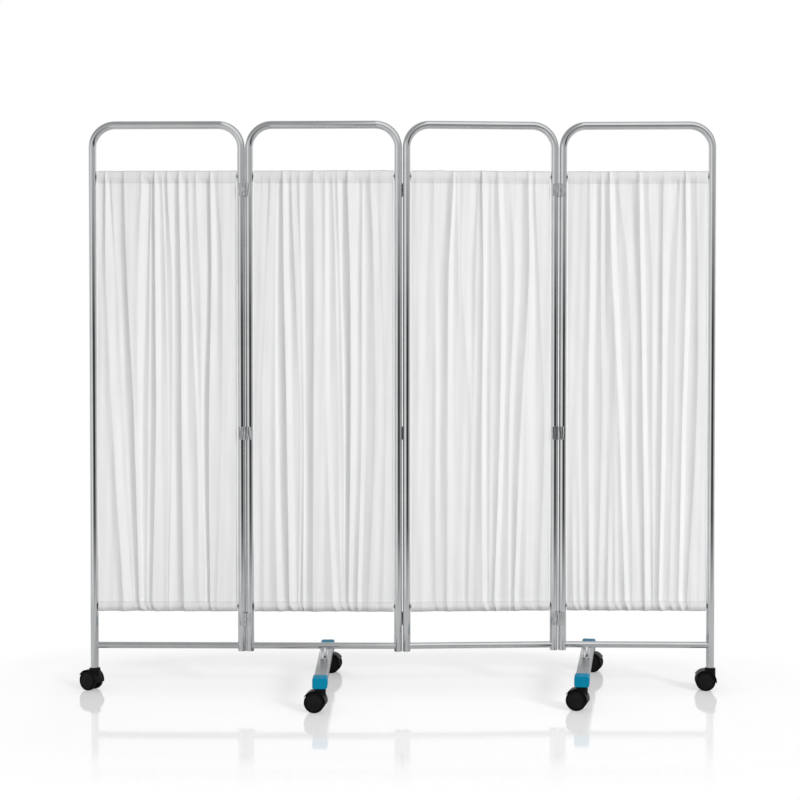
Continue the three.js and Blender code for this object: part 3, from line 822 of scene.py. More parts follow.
def arch_stations(left_end, right_end):
    """Centres of the tube's sections with their tangents, up the left leg and down the right."""
    stations = [((-HALF_SPAN, left_end), (0, 1))]
    for side in (-1, 1):
        for step in range(BEND_STEPS + 1):
            turn = math.pi / 2 * step / BEND_STEPS
            angle = math.pi - turn if side < 0 else math.pi / 2 - turn
            x = side * (HALF_SPAN - BEND_RADIUS) + BEND_RADIUS * math.cos(angle)
            z = BEND_START + BEND_RADIUS * math.sin(angle)
            stations.append(((x, z), (math.sin(angle), -math.cos(angle))))
    stations.append(((HALF_SPAN, right_end), (0, -1)))
    return stations


def arch_rings(stations, radius):
    around = circle(radius, TUBE_SIDES, start=0.5)
    rings = []
    for (x, z), (tangent_x, tangent_z) in stations:
        rings.append([(x - out * tangent_z, y, z + out * tangent_x) for out, y in around])
    return rings


def arch_axis_point(point):
    """The point of the arch's centre line nearest to a point on the tube."""
    side = 1 if point.x > 0 else -1
    if point.z <= BEND_START:
        return Vector((side * HALF_SPAN, 0, point.z))
    if abs(point.x) <= HALF_SPAN - BEND_RADIUS:
        return Vector((point.x, 0, SCREEN_HEIGHT - TUBE_RADIUS))
    centre = Vector((side * (HALF_SPAN - BEND_RADIUS), 0, BEND_START))
    away = Vector((point.x - centre.x, 0, point.z - centre.z)).normalized()
    return centre + BEND_RADIUS * away


def cut(mesh, form):
    """The mesh less a closed form."""
    body = linked("cut_body", mesh)
    tool = linked("cut_tool", new_mesh("cut_tool", *form))
    modifier = body.modifiers.new("cut", "BOOLEAN")
    modifier.object = tool
    modifier.operation = "DIFFERENCE"
    modifier.solver = "EXACT"
    bpy.context.view_layer.update()
    result = bpy.data.meshes.new_from_object(body.evaluated_get(bpy.context.evaluated_depsgraph_get()))
    bpy.data.objects.remove(body)
    bpy.data.objects.remove(tool)
    return result


def round_tube_normals(mesh):
    """True round normals on the tube's walls, and flat ones on its ends and holes."""
    mesh.shade_smooth()
    normals = []
    for polygon in mesh.polygons:
        for index in polygon.vertices:
            point = mesh.vertices[index].co
            away = point - arch_axis_point(point)
            radius = away.length
            away.normalize()
            facing = polygon.normal.dot(away)
            if facing > WALL_FACING_SHARE and abs(radius - TUBE_RADIUS) < WALL_TOLERANCE:
                normals.append(away)
            elif facing < -WALL_FACING_SHARE and abs(radius - TUBE_RADIUS + TUBE_WALL) < WALL_TOLERANCE:
                normals.append(-away)
            else:
                normals.append(polygon.normal.copy())
    mesh.normals_split_custom_set(normals)


def make_tube(number, material):
    """The bent tube with its bore, its open lower ends and the holes of the rod ends."""
    stations = arch_stations(*LEG_ENDS[number])
    outer = arch_rings(stations, TUBE_RADIUS)
    inner = arch_rings(stations, TUBE_RADIUS - TUBE_WALL)
    points, faces = loft(outer + list(reversed(inner)) + [outer[0]])
    count = len(points) - TUBE_SIDES
    faces = [[i % count for i in face] for face in faces]
    heights = (BOTTOM_ROD_HEIGHT, TOP_ROD_HEIGHT)
    holes = [rod_along_x(ROD_RADIUS + ROD_CLEARANCE, HALF_SPAN, height) for height in heights]
    mesh = cut(new_mesh(f"tube_{number}", points[:count], faces), joined(*holes))
    mesh.name = f"tube_{number}"
    round_tube_normals(mesh)
    mesh.transform(panel_place(number))
    shown(f"tube_{number}", mesh, material, f"panel_{number}", [f"frame_{number}"])


def knuckle(bottom, top):
    rows = [
        (PIN_RADIUS, bottom),
        (KNUCKLE_RADIUS - KNUCKLE_BEVEL, bottom),
        (KNUCKLE_RADIUS, bottom + KNUCKLE_BEVEL),
        (KNUCKLE_RADIUS, top - KNUCKLE_BEVEL),
        (KNUCKLE_RADIUS - KNUCKLE_BEVEL, top),
        (PIN_RADIUS, top),
    ]
    return turned(rows, KNUCKLE_SIDES)


def leaf_form(side, face, carries_middle):
    """One leaf about its hinge's middle. Its tube lies at -side in X and at -face in Y."""
    third = HINGE_HEIGHT / 3
    gap = KNUCKLE_GAP / 2
    if carries_middle:
        spans = [(-third / 2 + gap, third / 2 - gap)]
    else:
        spans = [(-HINGE_HEIGHT / 2, -third / 2 - gap), (third / 2 + gap, HINGE_HEIGHT / 2)]
    start = KNUCKLE_RADIUS + KNUCKLE_GAP
    width = LEAF_REACH - start
    near_face = KNUCKLE_RADIUS - LEAF_THICKNESS
    plate = rounded_plate(width, HINGE_HEIGHT, LEAF_THICKNESS, LEAF_CORNER, LEAF_BEVEL)
    parts = [moved(plate, Matrix.Translation((start + width / 2, near_face, 0)))]
    for bottom, top in spans:
        tab_width = start + LEAF_CORNER
        tab = rounded_plate(tab_width, top - bottom, LEAF_THICKNESS, LEAF_BEVEL, LEAF_BEVEL)
        parts.append(moved(tab, Matrix.Translation((tab_width / 2, near_face, (bottom + top) / 2))))
        parts.append(knuckle(bottom, top))
    tube_centre = HINGE_INSET - HALF_SPAN
    reach = HINGE_HEIGHT / 2 - LEAF_CORNER
    for offset in (-1, 1):
        x = tube_centre + offset * (LEAF_REACH - tube_centre - LEAF_WELD_RADIUS)
        y = KNUCKLE_RADIUS + LEAF_WELD_RADIUS / 2
        line = [(x, y, z) for z in np.linspace(-reach, reach, LEAF_WELD_POINTS)]
        parts.append(bead(line, LEAF_WELD_RADIUS, closed=False))
    points, faces = joined(*parts)
    points = [(-side * x, -face * y, z) for x, y, z in points]
    return points, [list(reversed(f)) for f in faces] if side * face < 0 else faces


def make_leaves(number, material):
    forms = []
    for side, face, carries_middle in HINGES[number]:
        for label in HINGE_LABELS:
            height = middle(f"hinge_pin_1_{label}").z
            axis = Matrix.Translation((side * HINGE_INSET, face * HINGE_REACH, height))
            forms.append(moved(leaf_form(side, face, carries_middle), axis))
    piece(f"hinge_leaves_{number}", joined(*forms), material, f"panel_{number}",
          panel_place(number))


def make_pin(number, label, material):
    """A hinge pin with a domed head at each end."""
    start = HINGE_HEIGHT / 2 + PIN_HEAD_LIFT
    edge = start + PIN_HEAD_EDGE
    half = [(PIN_RADIUS, start), (PIN_HEAD_RADIUS * PIN_UNDERSIDE_SHARE, start), (PIN_HEAD_RADIUS, edge)]
    for cosine, sine in quarter(PIN_HEAD_STEPS)[1:]:
        rise = (PIN_HEAD_THICKNESS - PIN_HEAD_EDGE) * sine
        half.append((PIN_HEAD_RADIUS * max(cosine, PIN_TIP_SHARE), edge + rise))
    rows = [(radius, -height) for radius, height in reversed(half)] + half
    name = f"hinge_pin_{number}_{label}"
    place = Matrix.Translation(middle(name))
    piece(f"pin_{number}_{label}", turned(rows, PIN_SIDES), material, f"panel_{number}", place,
          [name])


# Rails, rods and posts


def coped_ring(side, sides):
    """The line where the rail meets the leg's round at one side."""
    ring = []
    for y, z in circle(RAIL_RADIUS, sides):
        reach = HALF_SPAN - math.sqrt(TUBE_RADIUS ** 2 - y ** 2)
        ring.append((side * reach, y, RAIL_HEIGHT + z))
    return ring


def rail_form():
    """The rail between the legs, its ends hollowed to lie round them, with a weld at each."""
    rail = loft([coped_ring(side, RAIL_SIDES) for side in (-1, 1)])
    welds = [bead(coped_ring(side, RAIL_WELD_POINTS), WELD_RADIUS) for side in (-1, 1)]
    return joined(rail, *welds)


def post_form():
    """The post of a foot from the bar's top up to the rail, with its welds."""
    rows = [
        (POST_RADIUS, BAR_TOP - BAR_CORNER),
        (POST_RADIUS, POST_TOP - POST_BEVEL),
        (POST_RADIUS - POST_BEVEL, POST_TOP),
    ]
    foot_line = [(x, y, BAR_TOP) for x, y in circle(POST_RADIUS, POST_SIDES)]
    welds = [bead(foot_line, WELD_RADIUS)]
    reach = POST_RADIUS - WELD_RADIUS
    rail_face = math.sqrt(RAIL_RADIUS ** 2 - (POST_TOP - RAIL_HEIGHT) ** 2)
    for y in (-rail_face, rail_face):
        line = [(x, y, POST_TOP) for x in np.linspace(-reach, reach, POST_WELD_POINTS)]
        welds.append(bead(line, WELD_RADIUS, closed=False))
    return joined(turned(rows, POST_SIDES), *welds)


def screw_form():
    """The socket screw in the post's front, turned a little to one side."""
    rows = [
        (SCREW_SOCKET, -SCREW_RADIUS),
        (SCREW_SOCKET, SCREW_LIFT - SCREW_SOCKET_DEPTH),
        (SCREW_SOCKET, SCREW_LIFT),
        (SCREW_RADIUS - SCREW_BEVEL, SCREW_LIFT),
        (SCREW_RADIUS, SCREW_LIFT - SCREW_BEVEL),
        (SCREW_RADIUS, -SCREW_RADIUS),
    ]
    turn = Matrix.Rotation(math.radians(SCREW_ANGLE), 4, "Z")
    out = Matrix.Translation((0, -POST_RADIUS, BAR_TOP + SCREW_HEIGHT)) @ TO_FRONT
    return moved(turned(rows, SCREW_SIDES), turn @ out)


def make_rail(number, chrome, steel):
    """The bottom rail and, where the panel stands on a foot, the post and its set screw."""
    body = f"panel_{number}"
    place = panel_place(number)
    piece(f"rail_{number}", rail_form(), chrome, body, place,
          [f"bottom_rail_{number}"], sharp=50)
    if number in FOOT_TURNS:
        local = place.inverted() @ foot_place(number).translation
        upright = place @ Matrix.Translation((local.x, local.y, 0))
        piece(f"post_{number}", post_form(), chrome, body, upright, sharp=50)
        piece(f"set_screw_{number}", screw_form(), steel, body, upright)


def make_rod(number, label, height, material):
    half = HALF_SPAN - TUBE_RADIUS + ROD_REACH_IN_TUBE
    piece(f"rod_{label}_{number}", rod_along_x(ROD_RADIUS, half, height), material,
          f"panel_{number}", panel_place(number), [f"{label}_rod_{number}"])


# Curtains


def smooth_share(value):
    value = np.clip(value, 0, 1)
    return value * value * (3 - 2 * value)


def eased(height, start, end):
    """How far a height has come from one height to another, from 0 to 1 with soft ends."""
    return float(smooth_share((height - start) / (end - start)))


def wave(places, count, shift=0):
    """A wave of so many turns across a curtain. No counts are alike, so that nothing repeats."""
    return np.sin(2 * math.pi * (count * places + shift))


def unevenness(number, across, waves):
    return sum(strength * wave(across, count, shift * number) for strength, count, shift in waves)


def at_level(values, share):
    """A smooth run down through the columns of the fold levels, held beyond the end ones."""
    row = sum(share < level for level in FOLD_LEVELS[1:-1])
    high, low = FOLD_LEVELS[row], FOLD_LEVELS[row + 1]
    slopes = []
    for i in (row, row + 1):
        above, below = max(i - 1, 0), min(i + 1, len(FOLD_LEVELS) - 1)
        change = values[:, above] - values[:, below]
        slopes.append(change / (FOLD_LEVELS[above] - FOLD_LEVELS[below]))
    t = min(max((high - share) / (high - low), 0), 1)
    level = values[:, row] + (values[:, row + 1] - values[:, row]) * t * t * (3 - 2 * t)
    return level - (high - low) * (t * (1 - t) ** 2 * slopes[0] - t * t * (1 - t) * slopes[1])


def fold_line(number, across, share):
    """How far the cloth stands forward across the curtain at one height, in fold depths."""
    folds = np.array(FOLD_SHARES[number])
    levels = len(FOLD_LEVELS)
    places = at_level(folds[:, :levels] / PLACE_SCALE, share)
    depths = at_level(folds[:, levels:] / DEPTH_SCALE, share)
    places = np.maximum.accumulate(places + LEAST_STEP * np.arange(len(folds)))
    span = np.clip(np.searchsorted(places, across, side="right") - 1, 0, len(folds) - 2)
    t = (across - places[span]) / np.maximum(places[span + 1] - places[span], LEAST_STEP)
    # Each wall runs out softly into its valley, and the left walls are steepest beside their ridge
    first, last = depths[span], depths[span + 1]
    left = CREST_SHARE * t ** 2 + (1 - CREST_SHARE) * smooth_share(t)
    right = RIGHT_SHARE * (1 - t) + (1 - RIGHT_SHARE) * smooth_share(1 - t)
    rise = np.where(last > first, left, right)
    return np.minimum(first, last) + np.abs(last - first) * rise


def ruffle_line(number, across):
    """The small gathers that the rods and seams press into the cloth."""
    phase = RUFFLE_SWING * unevenness(number, across, RUFFLE_WAVES)
    return np.sin(2 * math.pi * RUFFLE_COUNT * across + phase) * (0.7 + 0.3 * wave(across, 7))


def scooped(number, across, height):
    """The places whose folds reach the hem here: they curl to the right as they meet the rod."""
    down = eased(height, BOTTOM_EDGE + SCOOP_HEIGHT, BOTTOM_EDGE)
    uneven = 0.5 + unevenness(number, across, SCOOP_WAVES)
    return np.clip(across - SCOOP_SHIFT_SHARE * down * down * uneven, 0, 1)


def drift(number, across, share):
    """Slow unevenness of hanging cloth."""
    parts = []
    for strength, count, shift, slant in DRIFT_WAVES:
        parts.append(strength * wave(across, count, shift * number + slant * share))
    return parts[0] * wave(share, DRIFT_COUNT, DRIFT_SHIFT * number) + parts[1]


def pocket_shape(height, rod_height, seam, edge):
    """How far a pocket is opened by its rod at one height, from 0 to 1, and its least half thickness."""
    to_seam = (height < rod_height) == (seam < rod_height)
    end, thin = (seam, SEAM_HALF) if to_seam else (edge, EDGE_HALF)
    return (1 - eased(height, rod_height, end)) ** POCKET_POWER, thin


def pocket_rows(rod_height, seam, edge, layer):
    """The rows of one side of a pocket, from its seam to its edge."""
    rows = []
    for i in range(POCKET_ROWS + 1):
        t = i / POCKET_ROWS
        height = seam + t * (edge - seam)
        opening, thin = pocket_shape(height, rod_height, seam, edge)
        if t == 1 or (t == 0 and layer < 0):
            thin = 0.0
        rows.append((height, layer, opening, thin))
    return rows


def cloth_rows():
    """Rows along the strip: height, layer (-1 front, 1 back, 0 single), opening and half thickness."""
    low = (BOTTOM_ROD_HEIGHT, BOTTOM_SEAM, BOTTOM_EDGE)
    high = (TOP_ROD_HEIGHT, TOP_SEAM, TOP_EDGE)
    body = []
    for i in range(1, BODY_ROWS):
        t = i / BODY_ROWS
        share = ROW_EASE_SHARE * float(smooth_share(t)) + (1 - ROW_EASE_SHARE) * t
        body.append((BOTTOM_SEAM + share * (TOP_SEAM - BOTTOM_SEAM), 0, 0.0, 0.0))
    # The two sides of a pocket share the row at its edge, so the second side starts one row on
    low_front = pocket_rows(*low, -1)[-2::-1]
    high_back = pocket_rows(*high, 1)[-2::-1]
    return pocket_rows(*low, 1) + low_front + body + pocket_rows(*high, -1) + high_back


def row_shares(height):
    """How much of the fold depth and of the ruffles shows at one height."""
    if height > TOP_SEAM:
        loss = TOP_ROD_LOSS_SHARE * eased(height, TOP_SEAM, TOP_ROD_HEIGHT)
        return TOP_SEAM_SHARE - loss - EDGE_LOSS_SHARE * eased(height, TOP_ROD_HEIGHT, TOP_EDGE), 1.0
    if height < BOTTOM_SEAM:
        loss = EDGE_LOSS_SHARE * eased(height, BOTTOM_SEAM, BOTTOM_EDGE)
        return BOTTOM_SEAM_SHARE - loss, BOTTOM_RUFFLE_SHARE
    from_top = eased(height, TOP_SEAM, TOP_SEAM - TOP_FOLD_REACH)
    from_bottom = eased(height, BOTTOM_SEAM, BOTTOM_SEAM + BOTTOM_FOLD_REACH)
    fold = min(TOP_SEAM_SHARE + (1 - TOP_SEAM_SHARE) * from_top,
               BOTTOM_SEAM_SHARE + (1 - BOTTOM_SEAM_SHARE) * from_bottom)
    near_top = max(1 - (TOP_SEAM - height) / TOP_RUFFLE_REACH, 0)
    near_bottom = max(1 - (height - BOTTOM_SEAM) / BOTTOM_RUFFLE_REACH, 0)
    return fold, near_top ** 2 + BOTTOM_RUFFLE_SHARE * near_bottom ** 2


def gathered(line, height):
    """The folds past the seams: the valleys fill up, and the top's ridges narrow towards the edge."""
    up = eased(height, TOP_SEAM, TOP_EDGE)
    down = eased(height, BOTTOM_SEAM, BOTTOM_EDGE)
    ridges = np.maximum(line, 0) ** (1 + RIDGE_NARROWING * up)
    return ridges + np.minimum(line, 0) * (1 - TOP_FILL_SHARE * up - BOTTOM_FILL_SHARE * down)


def edge_lift(number, across, forward, height):
    """How much higher or lower the cloth's upper and lower edges lie from place to place."""
    near_top = eased(height, TOP_ROD_HEIGHT, TOP_EDGE)
    near_bottom = eased(height, BOTTOM_ROD_HEIGHT, BOTTOM_EDGE)
    ripple = unevenness(number, across, EDGE_WAVES)
    top = 0.5 * ripple + forward / FOLD_DEPTH
    bottom = 0.4 * ripple - 0.5 * forward / FOLD_DEPTH
    return EDGE_LIFT * (near_top * top + near_bottom * bottom)


def row_points(number, across, ruffles, row):
    """The points of a curtain in one row of its strip."""
    height, layer, opening, thin = row
    share = (height - BOTTOM_EDGE) / (TOP_EDGE - BOTTOM_EDGE)
    fold, ruffle = row_shares(height)
    line = fold_line(number, scooped(number, across, height), share)
    forward = FOLD_DEPTH * fold * gathered(line, height)
    forward += RUFFLE_DEPTH * ruffle * ruffles
    forward += DRIFT_DEPTH * fold * drift(number, across, share)
    # Round the rod a fold only stands away from it, to the front or to the back
    fuller = HEM_FULLNESS if layer < 0 and height < BOTTOM_SEAM else 0.0
    away = fuller - layer * forward
    outward = (np.sqrt(away ** 2 + POCKET_SOFTNESS ** 2) + away) / 2
    back = layer * (opening * (POCKET_HALF + outward) + thin) - (1 - opening) * forward
    x = (2 * across - 1) * CURTAIN_HALF_WIDTH
    return np.column_stack((x, back, height + edge_lift(number, across, forward, height))).tolist()


def make_curtain(number, material):
    """One strip of cloth, from its lower hem seam round the lower rod, up and over the upper rod."""
    across = np.linspace(0, 1, COLUMNS + 1)
    ruffles = ruffle_line(number, across)
    rows = cloth_rows()
    points = [point for row in rows for point in row_points(number, across, ruffles, row)]
    faces = grid_faces(len(rows), COLUMNS + 1, closed=False)
    curtain = piece(f"cloth_{number}", (points, faces), material, f"panel_{number}",
                    panel_place(number), [f"curtain_{number}"], sharp=180)
    path = cloth_path(rows)
    cloth_width = 2 * CURTAIN_HALF_WIDTH * GATHER_RATIO
    flat = np.zeros((len(curtain.data.loops), 2), np.float32)
    index = np.zeros(len(curtain.data.loops), np.int32)
    curtain.data.loops.foreach_get("vertex_index", index)
    flat[:, 0] = across[index % (COLUMNS + 1)] * cloth_width
    flat[:, 1] = np.array(path)[index // (COLUMNS + 1)]
    curtain.data.uv_layers.new(name="cloth").data.foreach_set("uv", flat.ravel())


def cloth_path(rows):
    """How far along the strip each row lies."""
    path = [0.0]
    for before, after in zip(rows, rows[1:]):
        offsets = [layer * (opening * POCKET_HALF + thin) for _, layer, opening, thin in (before, after)]
        path.append(path[-1] + math.hypot(after[0] - before[0], offsets[1] - offsets[0]))
    return path


def seam_places():
    """Where the seams lie along the strip: one beside each end and one at each front layer's end."""
    rows = cloth_rows()
    path = cloth_path(rows)
    inner = [path[i] for i in range(1, len(rows) - 1) if rows[i][0] in (TOP_SEAM, BOTTOM_SEAM)]
    return [path[0] + SEAM_ALLOWANCE, *inner, path[-1] - SEAM_ALLOWANCE]


# Feet and casters


def sleeve_form():
    """The moulded sleeve over the bar's end towards +Y, with a rounded end and an eased mouth."""
    closed = FOOT_LENGTH / 2
    mouth = closed - CAP_LENGTH
    inner_width, inner_height = BAR_WIDTH + 2 * CAP_CLEARANCE, BAR_HEIGHT + 2 * CAP_CLEARANCE
    rings = [
        rounded_ring(inner_width, inner_height, BAR_CORNER, mouth + CAP_MOUTH_DEPTH),
        rounded_ring(inner_width, inner_height, BAR_CORNER, mouth + CAP_LIP / 2),
        rounded_ring(CAP_WIDTH - 2 * CAP_LIP, CAP_HEIGHT - 2 * CAP_LIP, CAP_CORNER - CAP_LIP, mouth),
        rounded_ring(CAP_WIDTH, CAP_HEIGHT, CAP_CORNER, mouth + CAP_LIP),
    ]
    for cosine, sine in quarter(CAP_END_STEPS):
        inset = CAP_END_ROUND * (1 - cosine)
        y = closed - CAP_END_ROUND * (1 - sine)
        rings.append(rounded_ring(CAP_WIDTH - 2 * inset, CAP_HEIGHT - 2 * inset, CAP_CORNER - inset, y))
    return loft(rings, close_end=True)


def make_foot(number, steel, blue):
    place = foot_place(number)
    body = f"panel_{number}"
    reach = FOOT_LENGTH / 2 - CAP_LENGTH / 2
    rings = [rounded_ring(BAR_WIDTH, BAR_HEIGHT, BAR_CORNER, y) for y in (-reach, reach)]
    bar_lift = Matrix.Translation((0, 0, BAR_BOTTOM + BAR_HEIGHT / 2))
    sleeve_lift = Matrix.Translation((0, 0, CAP_BOTTOM + CAP_HEIGHT / 2))
    bar = moved(loft(rings, close_start=True, close_end=True), bar_lift)
    piece(f"bar_{number}", bar, steel, body, place, [f"foot_bar_{number}"])
    for label, turn in (("front", math.pi), ("rear", 0)):
        sleeve = moved(sleeve_form(), Matrix.Rotation(turn, 4, "Z") @ sleeve_lift)
        piece(f"sleeve_{number}_{label}", sleeve, blue, body, place, [f"foot_cap_{number}_{label}"])


def swept_fender():
    """The web between the wheels and the fender over them, turned part of the way round the axle."""
    edge = WHEEL_OUTER + FENDER_OVERHANG
    outline = [
        (BOSS_RADIUS * WEB_ROOT_SHARE, -WEB_HALF),
        (CAVITY_RADIUS, -WEB_HALF),
        (CAVITY_RADIUS, -WHEEL_OUTER),
        (CAVITY_RADIUS + FENDER_LIP, -edge),
    ]
    for cosine, sine in quarter(FENDER_ROUND_STEPS):
        outline.append((FENDER_RADIUS - FENDER_ROUND * (1 - sine), FENDER_ROUND * (1 - cosine) - edge))
    outline += [(radius, -along) for radius, along in reversed(outline)]
    rings = []
    for step in range(FENDER_STEPS + 1):
        angle = math.radians(FENDER_START + (FENDER_END - FENDER_START) * step / FENDER_STEPS)
        ring = []
        for radius, along in outline:
            x = -CASTER_TRAIL + radius * math.cos(angle)
            ring.append((x, along, WHEEL_RADIUS + radius * math.sin(angle)))
        rings.append(ring)
    return loft(rings, close_start=True, close_end=True)


def neck_form():
    """The neck round the spindle, down to the fender's round."""
    low_ring = []
    for x, y in circle(NECK_RADIUS, NECK_SIDES):
        over = max(FENDER_RADIUS ** 2 - (x + CASTER_TRAIL) ** 2, 0)
        low_ring.append((x, y, WHEEL_RADIUS + math.sqrt(over) - NECK_SINK))
    rings = [low_ring]
    for cosine, sine in quarter(NECK_ROUND_STEPS):
        height = CASTER_TOP - NECK_ROUND * (1 - sine)
        around = circle(NECK_RADIUS - NECK_ROUND * (1 - cosine), NECK_SIDES)
        rings.append([(x, y, height) for x, y in around])
    return loft(rings, close_end=True)


def about_axle(rows, sides, turn):
    """A piece turned from rows of radius and distance from the caster's middle, out along its axle."""
    return moved(turned(rows, sides), Matrix.Translation((-CASTER_TRAIL, 0, WHEEL_RADIUS)) @ turn)


def axle_form():
    rows = [
        (AXLE_RADIUS, -AXLE_END),
        (AXLE_RADIUS, -WEB_HALF),
        (BOSS_RADIUS, -WEB_HALF),
        (BOSS_RADIUS, WEB_HALF),
        (AXLE_RADIUS, WEB_HALF),
        (AXLE_RADIUS, AXLE_END),
    ]
    return about_axle(rows, SHAFT_SIDES, TO_BACK)


def wheel_rows(outline, face, inward):
    """Rows from an outline's distances in from the tread and in from one face of the wheel."""
    rows = []
    for drop, inset in outline:
        rows.append((WHEEL_RADIUS - MILLIMETRE * drop, face + inward * MILLIMETRE * inset))
    return rows


def tyre_rows():
    bore = [(AXLE_RADIUS + AXLE_CLEARANCE, WHEEL_INNER)]
    inner = wheel_rows(TYRE_INNER_FACE, WHEEL_INNER, 1)
    return bore + inner + wheel_rows(TYRE_OUTER_FACE, WHEEL_OUTER, -1)


def stem_form(upper_radius, upper_top):
    rows = [
        (SPINDLE_RADIUS, SPINDLE_BOTTOM),
        (SPINDLE_RADIUS, COLLAR_BOTTOM),
        (COLLAR_RADIUS - STEM_BEVEL, COLLAR_BOTTOM),
        (COLLAR_RADIUS, COLLAR_BOTTOM + STEM_BEVEL),
        (COLLAR_RADIUS, COLLAR_TOP - STEM_BEVEL),
        (COLLAR_RADIUS - STEM_BEVEL, COLLAR_TOP),
        (upper_radius, COLLAR_TOP),
        (upper_radius, upper_top - STEM_BEVEL),
        (upper_radius - STEM_BEVEL, upper_top),
    ]
    return turned(rows, SHAFT_SIDES)


def make_caster(name, black, hub, tyre, steel):
    place = caster_place(name)
    hood = joined(swept_fender(), neck_form(), axle_form())
    piece(f"hood_{name}", hood, black, f"hood_{name}", place, [f"caster_hood_{name}"])
    on_leg = name in ("left", "right")
    stem = stem_form(PLUG_RADIUS, PLUG_TOP) if on_leg else stem_form(STEM_RADIUS, STEM_TOP)
    piece(f"stem_{name}", stem, steel, f"panel_{CASTER_PANELS[name]}", place,
          [f"caster_stem_{name}"])
    for label, turn in (("near", TO_FRONT), ("far", TO_BACK)):
        body = f"wheel_{name}_{label}"
        tyre_form = about_axle(tyre_rows(), WHEEL_SIDES, turn)
        hub_form = about_axle(wheel_rows(HUB_FACE, WHEEL_OUTER, -1), WHEEL_SIDES, turn)
        piece(f"tyre_{name}_{label}", tyre_form, tyre, body, place, [body])
        piece(f"hub_{name}_{label}", hub_form, hub, body, place)


# Stage: floor, surroundings, lamp and camera


def make_floor():
    """A pale glossy floor that fades into the white of the surroundings away from the screen. For the
    camera it glows, and the glow dips just behind the screen as a painted shadow.
    """
    material, tree, shader, place = new_material("floor")
    parts = split(tree, place)
    grain = noise(tree, place, scale=3)
    feed(tree, shader, {
        "Base Color": clouded(tree, grain, FLOOR_GREYS),
        "Roughness": maths(tree, "MULTIPLY_ADD", grain, 0.05, 0.04),
    })
    left, right, front, back = FLOOR_EDGES
    depth = maths(tree, "DIVIDE", maths(tree, "SUBTRACT", parts["Y"], front), back - front)
    # Glow seen by camera rays only, set by depth. Its dip just behind the screen is a painted shadow
    # band.
    floor_glow = ramp(tree, depth, [((y - front) / (back - front), grey) for y, grey in FLOOR_GLOWS_WITH_PAINTED_SHADOW])
    rays = node(tree, "ShaderNodeLightPath").outputs
    glow_shader = node(tree, "ShaderNodeEmission", {"Color": floor_glow, "Strength": rays["Is Camera Ray"]})
    lit = node(tree, "ShaderNodeAddShader", {0: shader.outputs[0], 1: glow_shader.outputs[0]})
    centred = maths(tree, "SUBTRACT", parts["Y"], FLOOR_CENTRE)
    reached = []
    for way, reach in zip((parts["X"], centred), FLOOR_FADE_REACHES):
        reached.append(maths(tree, "POWER", maths(tree, "DIVIDE", way, reach), FLOOR_FADE_POWER))
    away = maths(tree, "POWER", maths(tree, "ADD", *reached), 1 / FLOOR_FADE_POWER)
    fade = ramp(tree, away, FLOOR_FADE, smooth=True)
    strength = maths(tree, "MULTIPLY_ADD", rays["Is Glossy Ray"], FLOOR_MIRRORED - 1, 1.0)
    white = node(tree, "ShaderNodeEmission", {"Color": WHITE, "Strength": strength})
    mix = mixed_shaders(tree, fade, lit, white)
    feed(tree, tree.nodes["Material Output"], {"Surface": mix.outputs[0]})
    corners = [(left, front, 0), (right, front, 0), (right, back, 0), (left, back, 0)]
    mesh = new_mesh("floor", corners, [[0, 1, 2, 3]])
    mesh.materials.append(material)
    linked("floor", mesh)


def around_ramp(tree, turn, stops):
    """A grey or weight that depends on the compass direction."""
    return ramp(tree, turn, [((degrees + 180) / 360, grey) for degrees, grey in stops])


def upward_ramp(tree, height, stops):
    """A weight that depends on the elevation."""
    return ramp(tree, height, [(0.5 + 0.5 * math.sin(math.radians(up)), weight) for up, weight in stops])


def make_surroundings():
    """A studio: white behind the screen, grey in front and overhead, with a dark strip for the chrome."""
    world = bpy.data.worlds.new("studio")
    bpy.context.scene.world = world
    world.use_nodes = True
    tree = world.node_tree
    tree.nodes.clear()
    parts = split(tree, node(tree, "ShaderNodeTexCoord").outputs["Generated"])
    towards_front = maths(tree, "MULTIPLY", parts["Y"], -1)
    angle = maths(tree, "ARCTAN2", parts["X"], towards_front)
    turn = maths(tree, "MULTIPLY_ADD", angle, 0.5 / math.pi, 0.5)
    height = maths(tree, "MULTIPLY_ADD", parts["Z"], 0.5, 0.5)
    seen = around_ramp(tree, turn, PLAIN_GREYS)
    layers = ((STRIP_BAND, STRIP_GREYS), (OVERHEAD_BAND, OVERHEAD_GREYS), (LOW_BAND, LOW_GREYS))
    for band, greys in layers:
        weight = upward_ramp(tree, height, band)
        seen = mixed_colours(tree, weight, seen, around_ramp(tree, turn, greys))
    behind = around_ramp(tree, turn, BEHIND_SHARES)
    behind = maths(tree, "MULTIPLY", behind, upward_ramp(tree, height, BEHIND_BAND))
    level = maths(tree, "MULTIPLY_ADD", behind, BEHIND_LIGHT, ROOM_LIGHT)
    studio = node(tree, "ShaderNodeBackground", {"Color": seen, "Strength": 1.0})
    room = node(tree, "ShaderNodeBackground", {"Color": WHITE, "Strength": level})
    white = node(tree, "ShaderNodeBackground", {"Color": WHITE, "Strength": 1.0})
    rays = node(tree, "ShaderNodeLightPath").outputs
    lit = mixed_shaders(tree, rays["Is Glossy Ray"], room, studio)
    mix = mixed_shaders(tree, rays["Is Camera Ray"], lit, white)
    node(tree, "ShaderNodeOutputWorld", {"Surface": mix.outputs[0]})


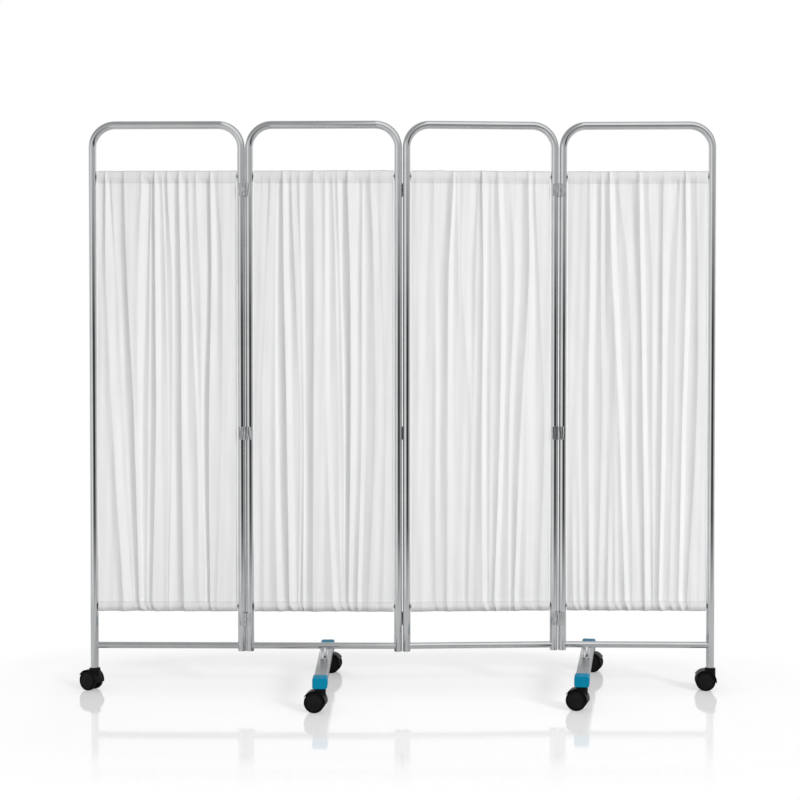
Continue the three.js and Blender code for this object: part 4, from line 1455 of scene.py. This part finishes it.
def make_key_lamp():
    """A soft lamp that lights the pieces but isn't mirrored in them."""
    data = bpy.data.lights.new("key", "AREA")
    data.shape = "RECTANGLE"
    data.size = KEY_SIDE
    data.size_y = KEY_SIDE
    data.energy = KEY_POWER
    lamp = linked("key", data)
    lamp.location = KEY_PLACE
    lamp.rotation_mode = "QUATERNION"
    lamp.rotation_quaternion = (Vector(KEY_TARGET) - Vector(KEY_PLACE)).to_track_quat("-Z", "Y")
    lamp.visible_glossy = False


def make_camera():
    data = bpy.data.cameras.new("camera")
    data.sensor_width = SENSOR_WIDTH
    data.lens = SENSOR_WIDTH * FOCAL_PIXELS / PICTURE_PIXELS
    camera = linked("camera", data)
    camera.location = CAMERA_PLACE
    camera.rotation_euler = (math.radians(90 - CAMERA_DROP), 0, 0)
    bpy.context.scene.camera = camera


def main():
    chrome = chrome_material("frame_chrome", dullness=0.03, wave_scale=60, wave_depth=0.00003)
    satin = chrome_material("hinge_satin", dullness=0.15, wave_scale=210, wave_depth=0.0016)
    steel = steel_material()
    foot_steel = foot_steel_material()
    cloth = cloth_material(seam_places())
    blue = moulded_material("blue_plastic", BLUE_TINTS, 0.5, 0.1, 1500, 0.00003)
    black = moulded_material("black_plastic", BLACK_TINTS, 0.42, 0.15, 1300, 0.00004)
    hub = moulded_material("wheel_hub", HUB_TINTS, 0.5, 0.15, 1700, 0.00003)
    tyre = moulded_material("wheel_tyre", BLACK_TINTS, 0.6, 0.15, 900, 0.00004)
    make_camera()
    for number in FRAME_TURNS:
        make_tube(number, chrome)
        make_leaves(number, satin)
        make_rail(number, chrome, steel)
        make_rod(number, "top", TOP_ROD_HEIGHT, steel)
        make_rod(number, "bottom", BOTTOM_ROD_HEIGHT, steel)
        make_curtain(number, cloth)
    for number in (1, 2, 3):
        for label in HINGE_LABELS:
            make_pin(number, label, steel)
    for number in FOOT_TURNS:
        make_foot(number, foot_steel, blue)
    for name in CASTER_PANELS:
        make_caster(name, black, hub, tyre, steel)
    make_floor()
    make_surroundings()
    make_key_lamp()
    bpy.context.scene.view_settings.view_transform = "Standard"


main()
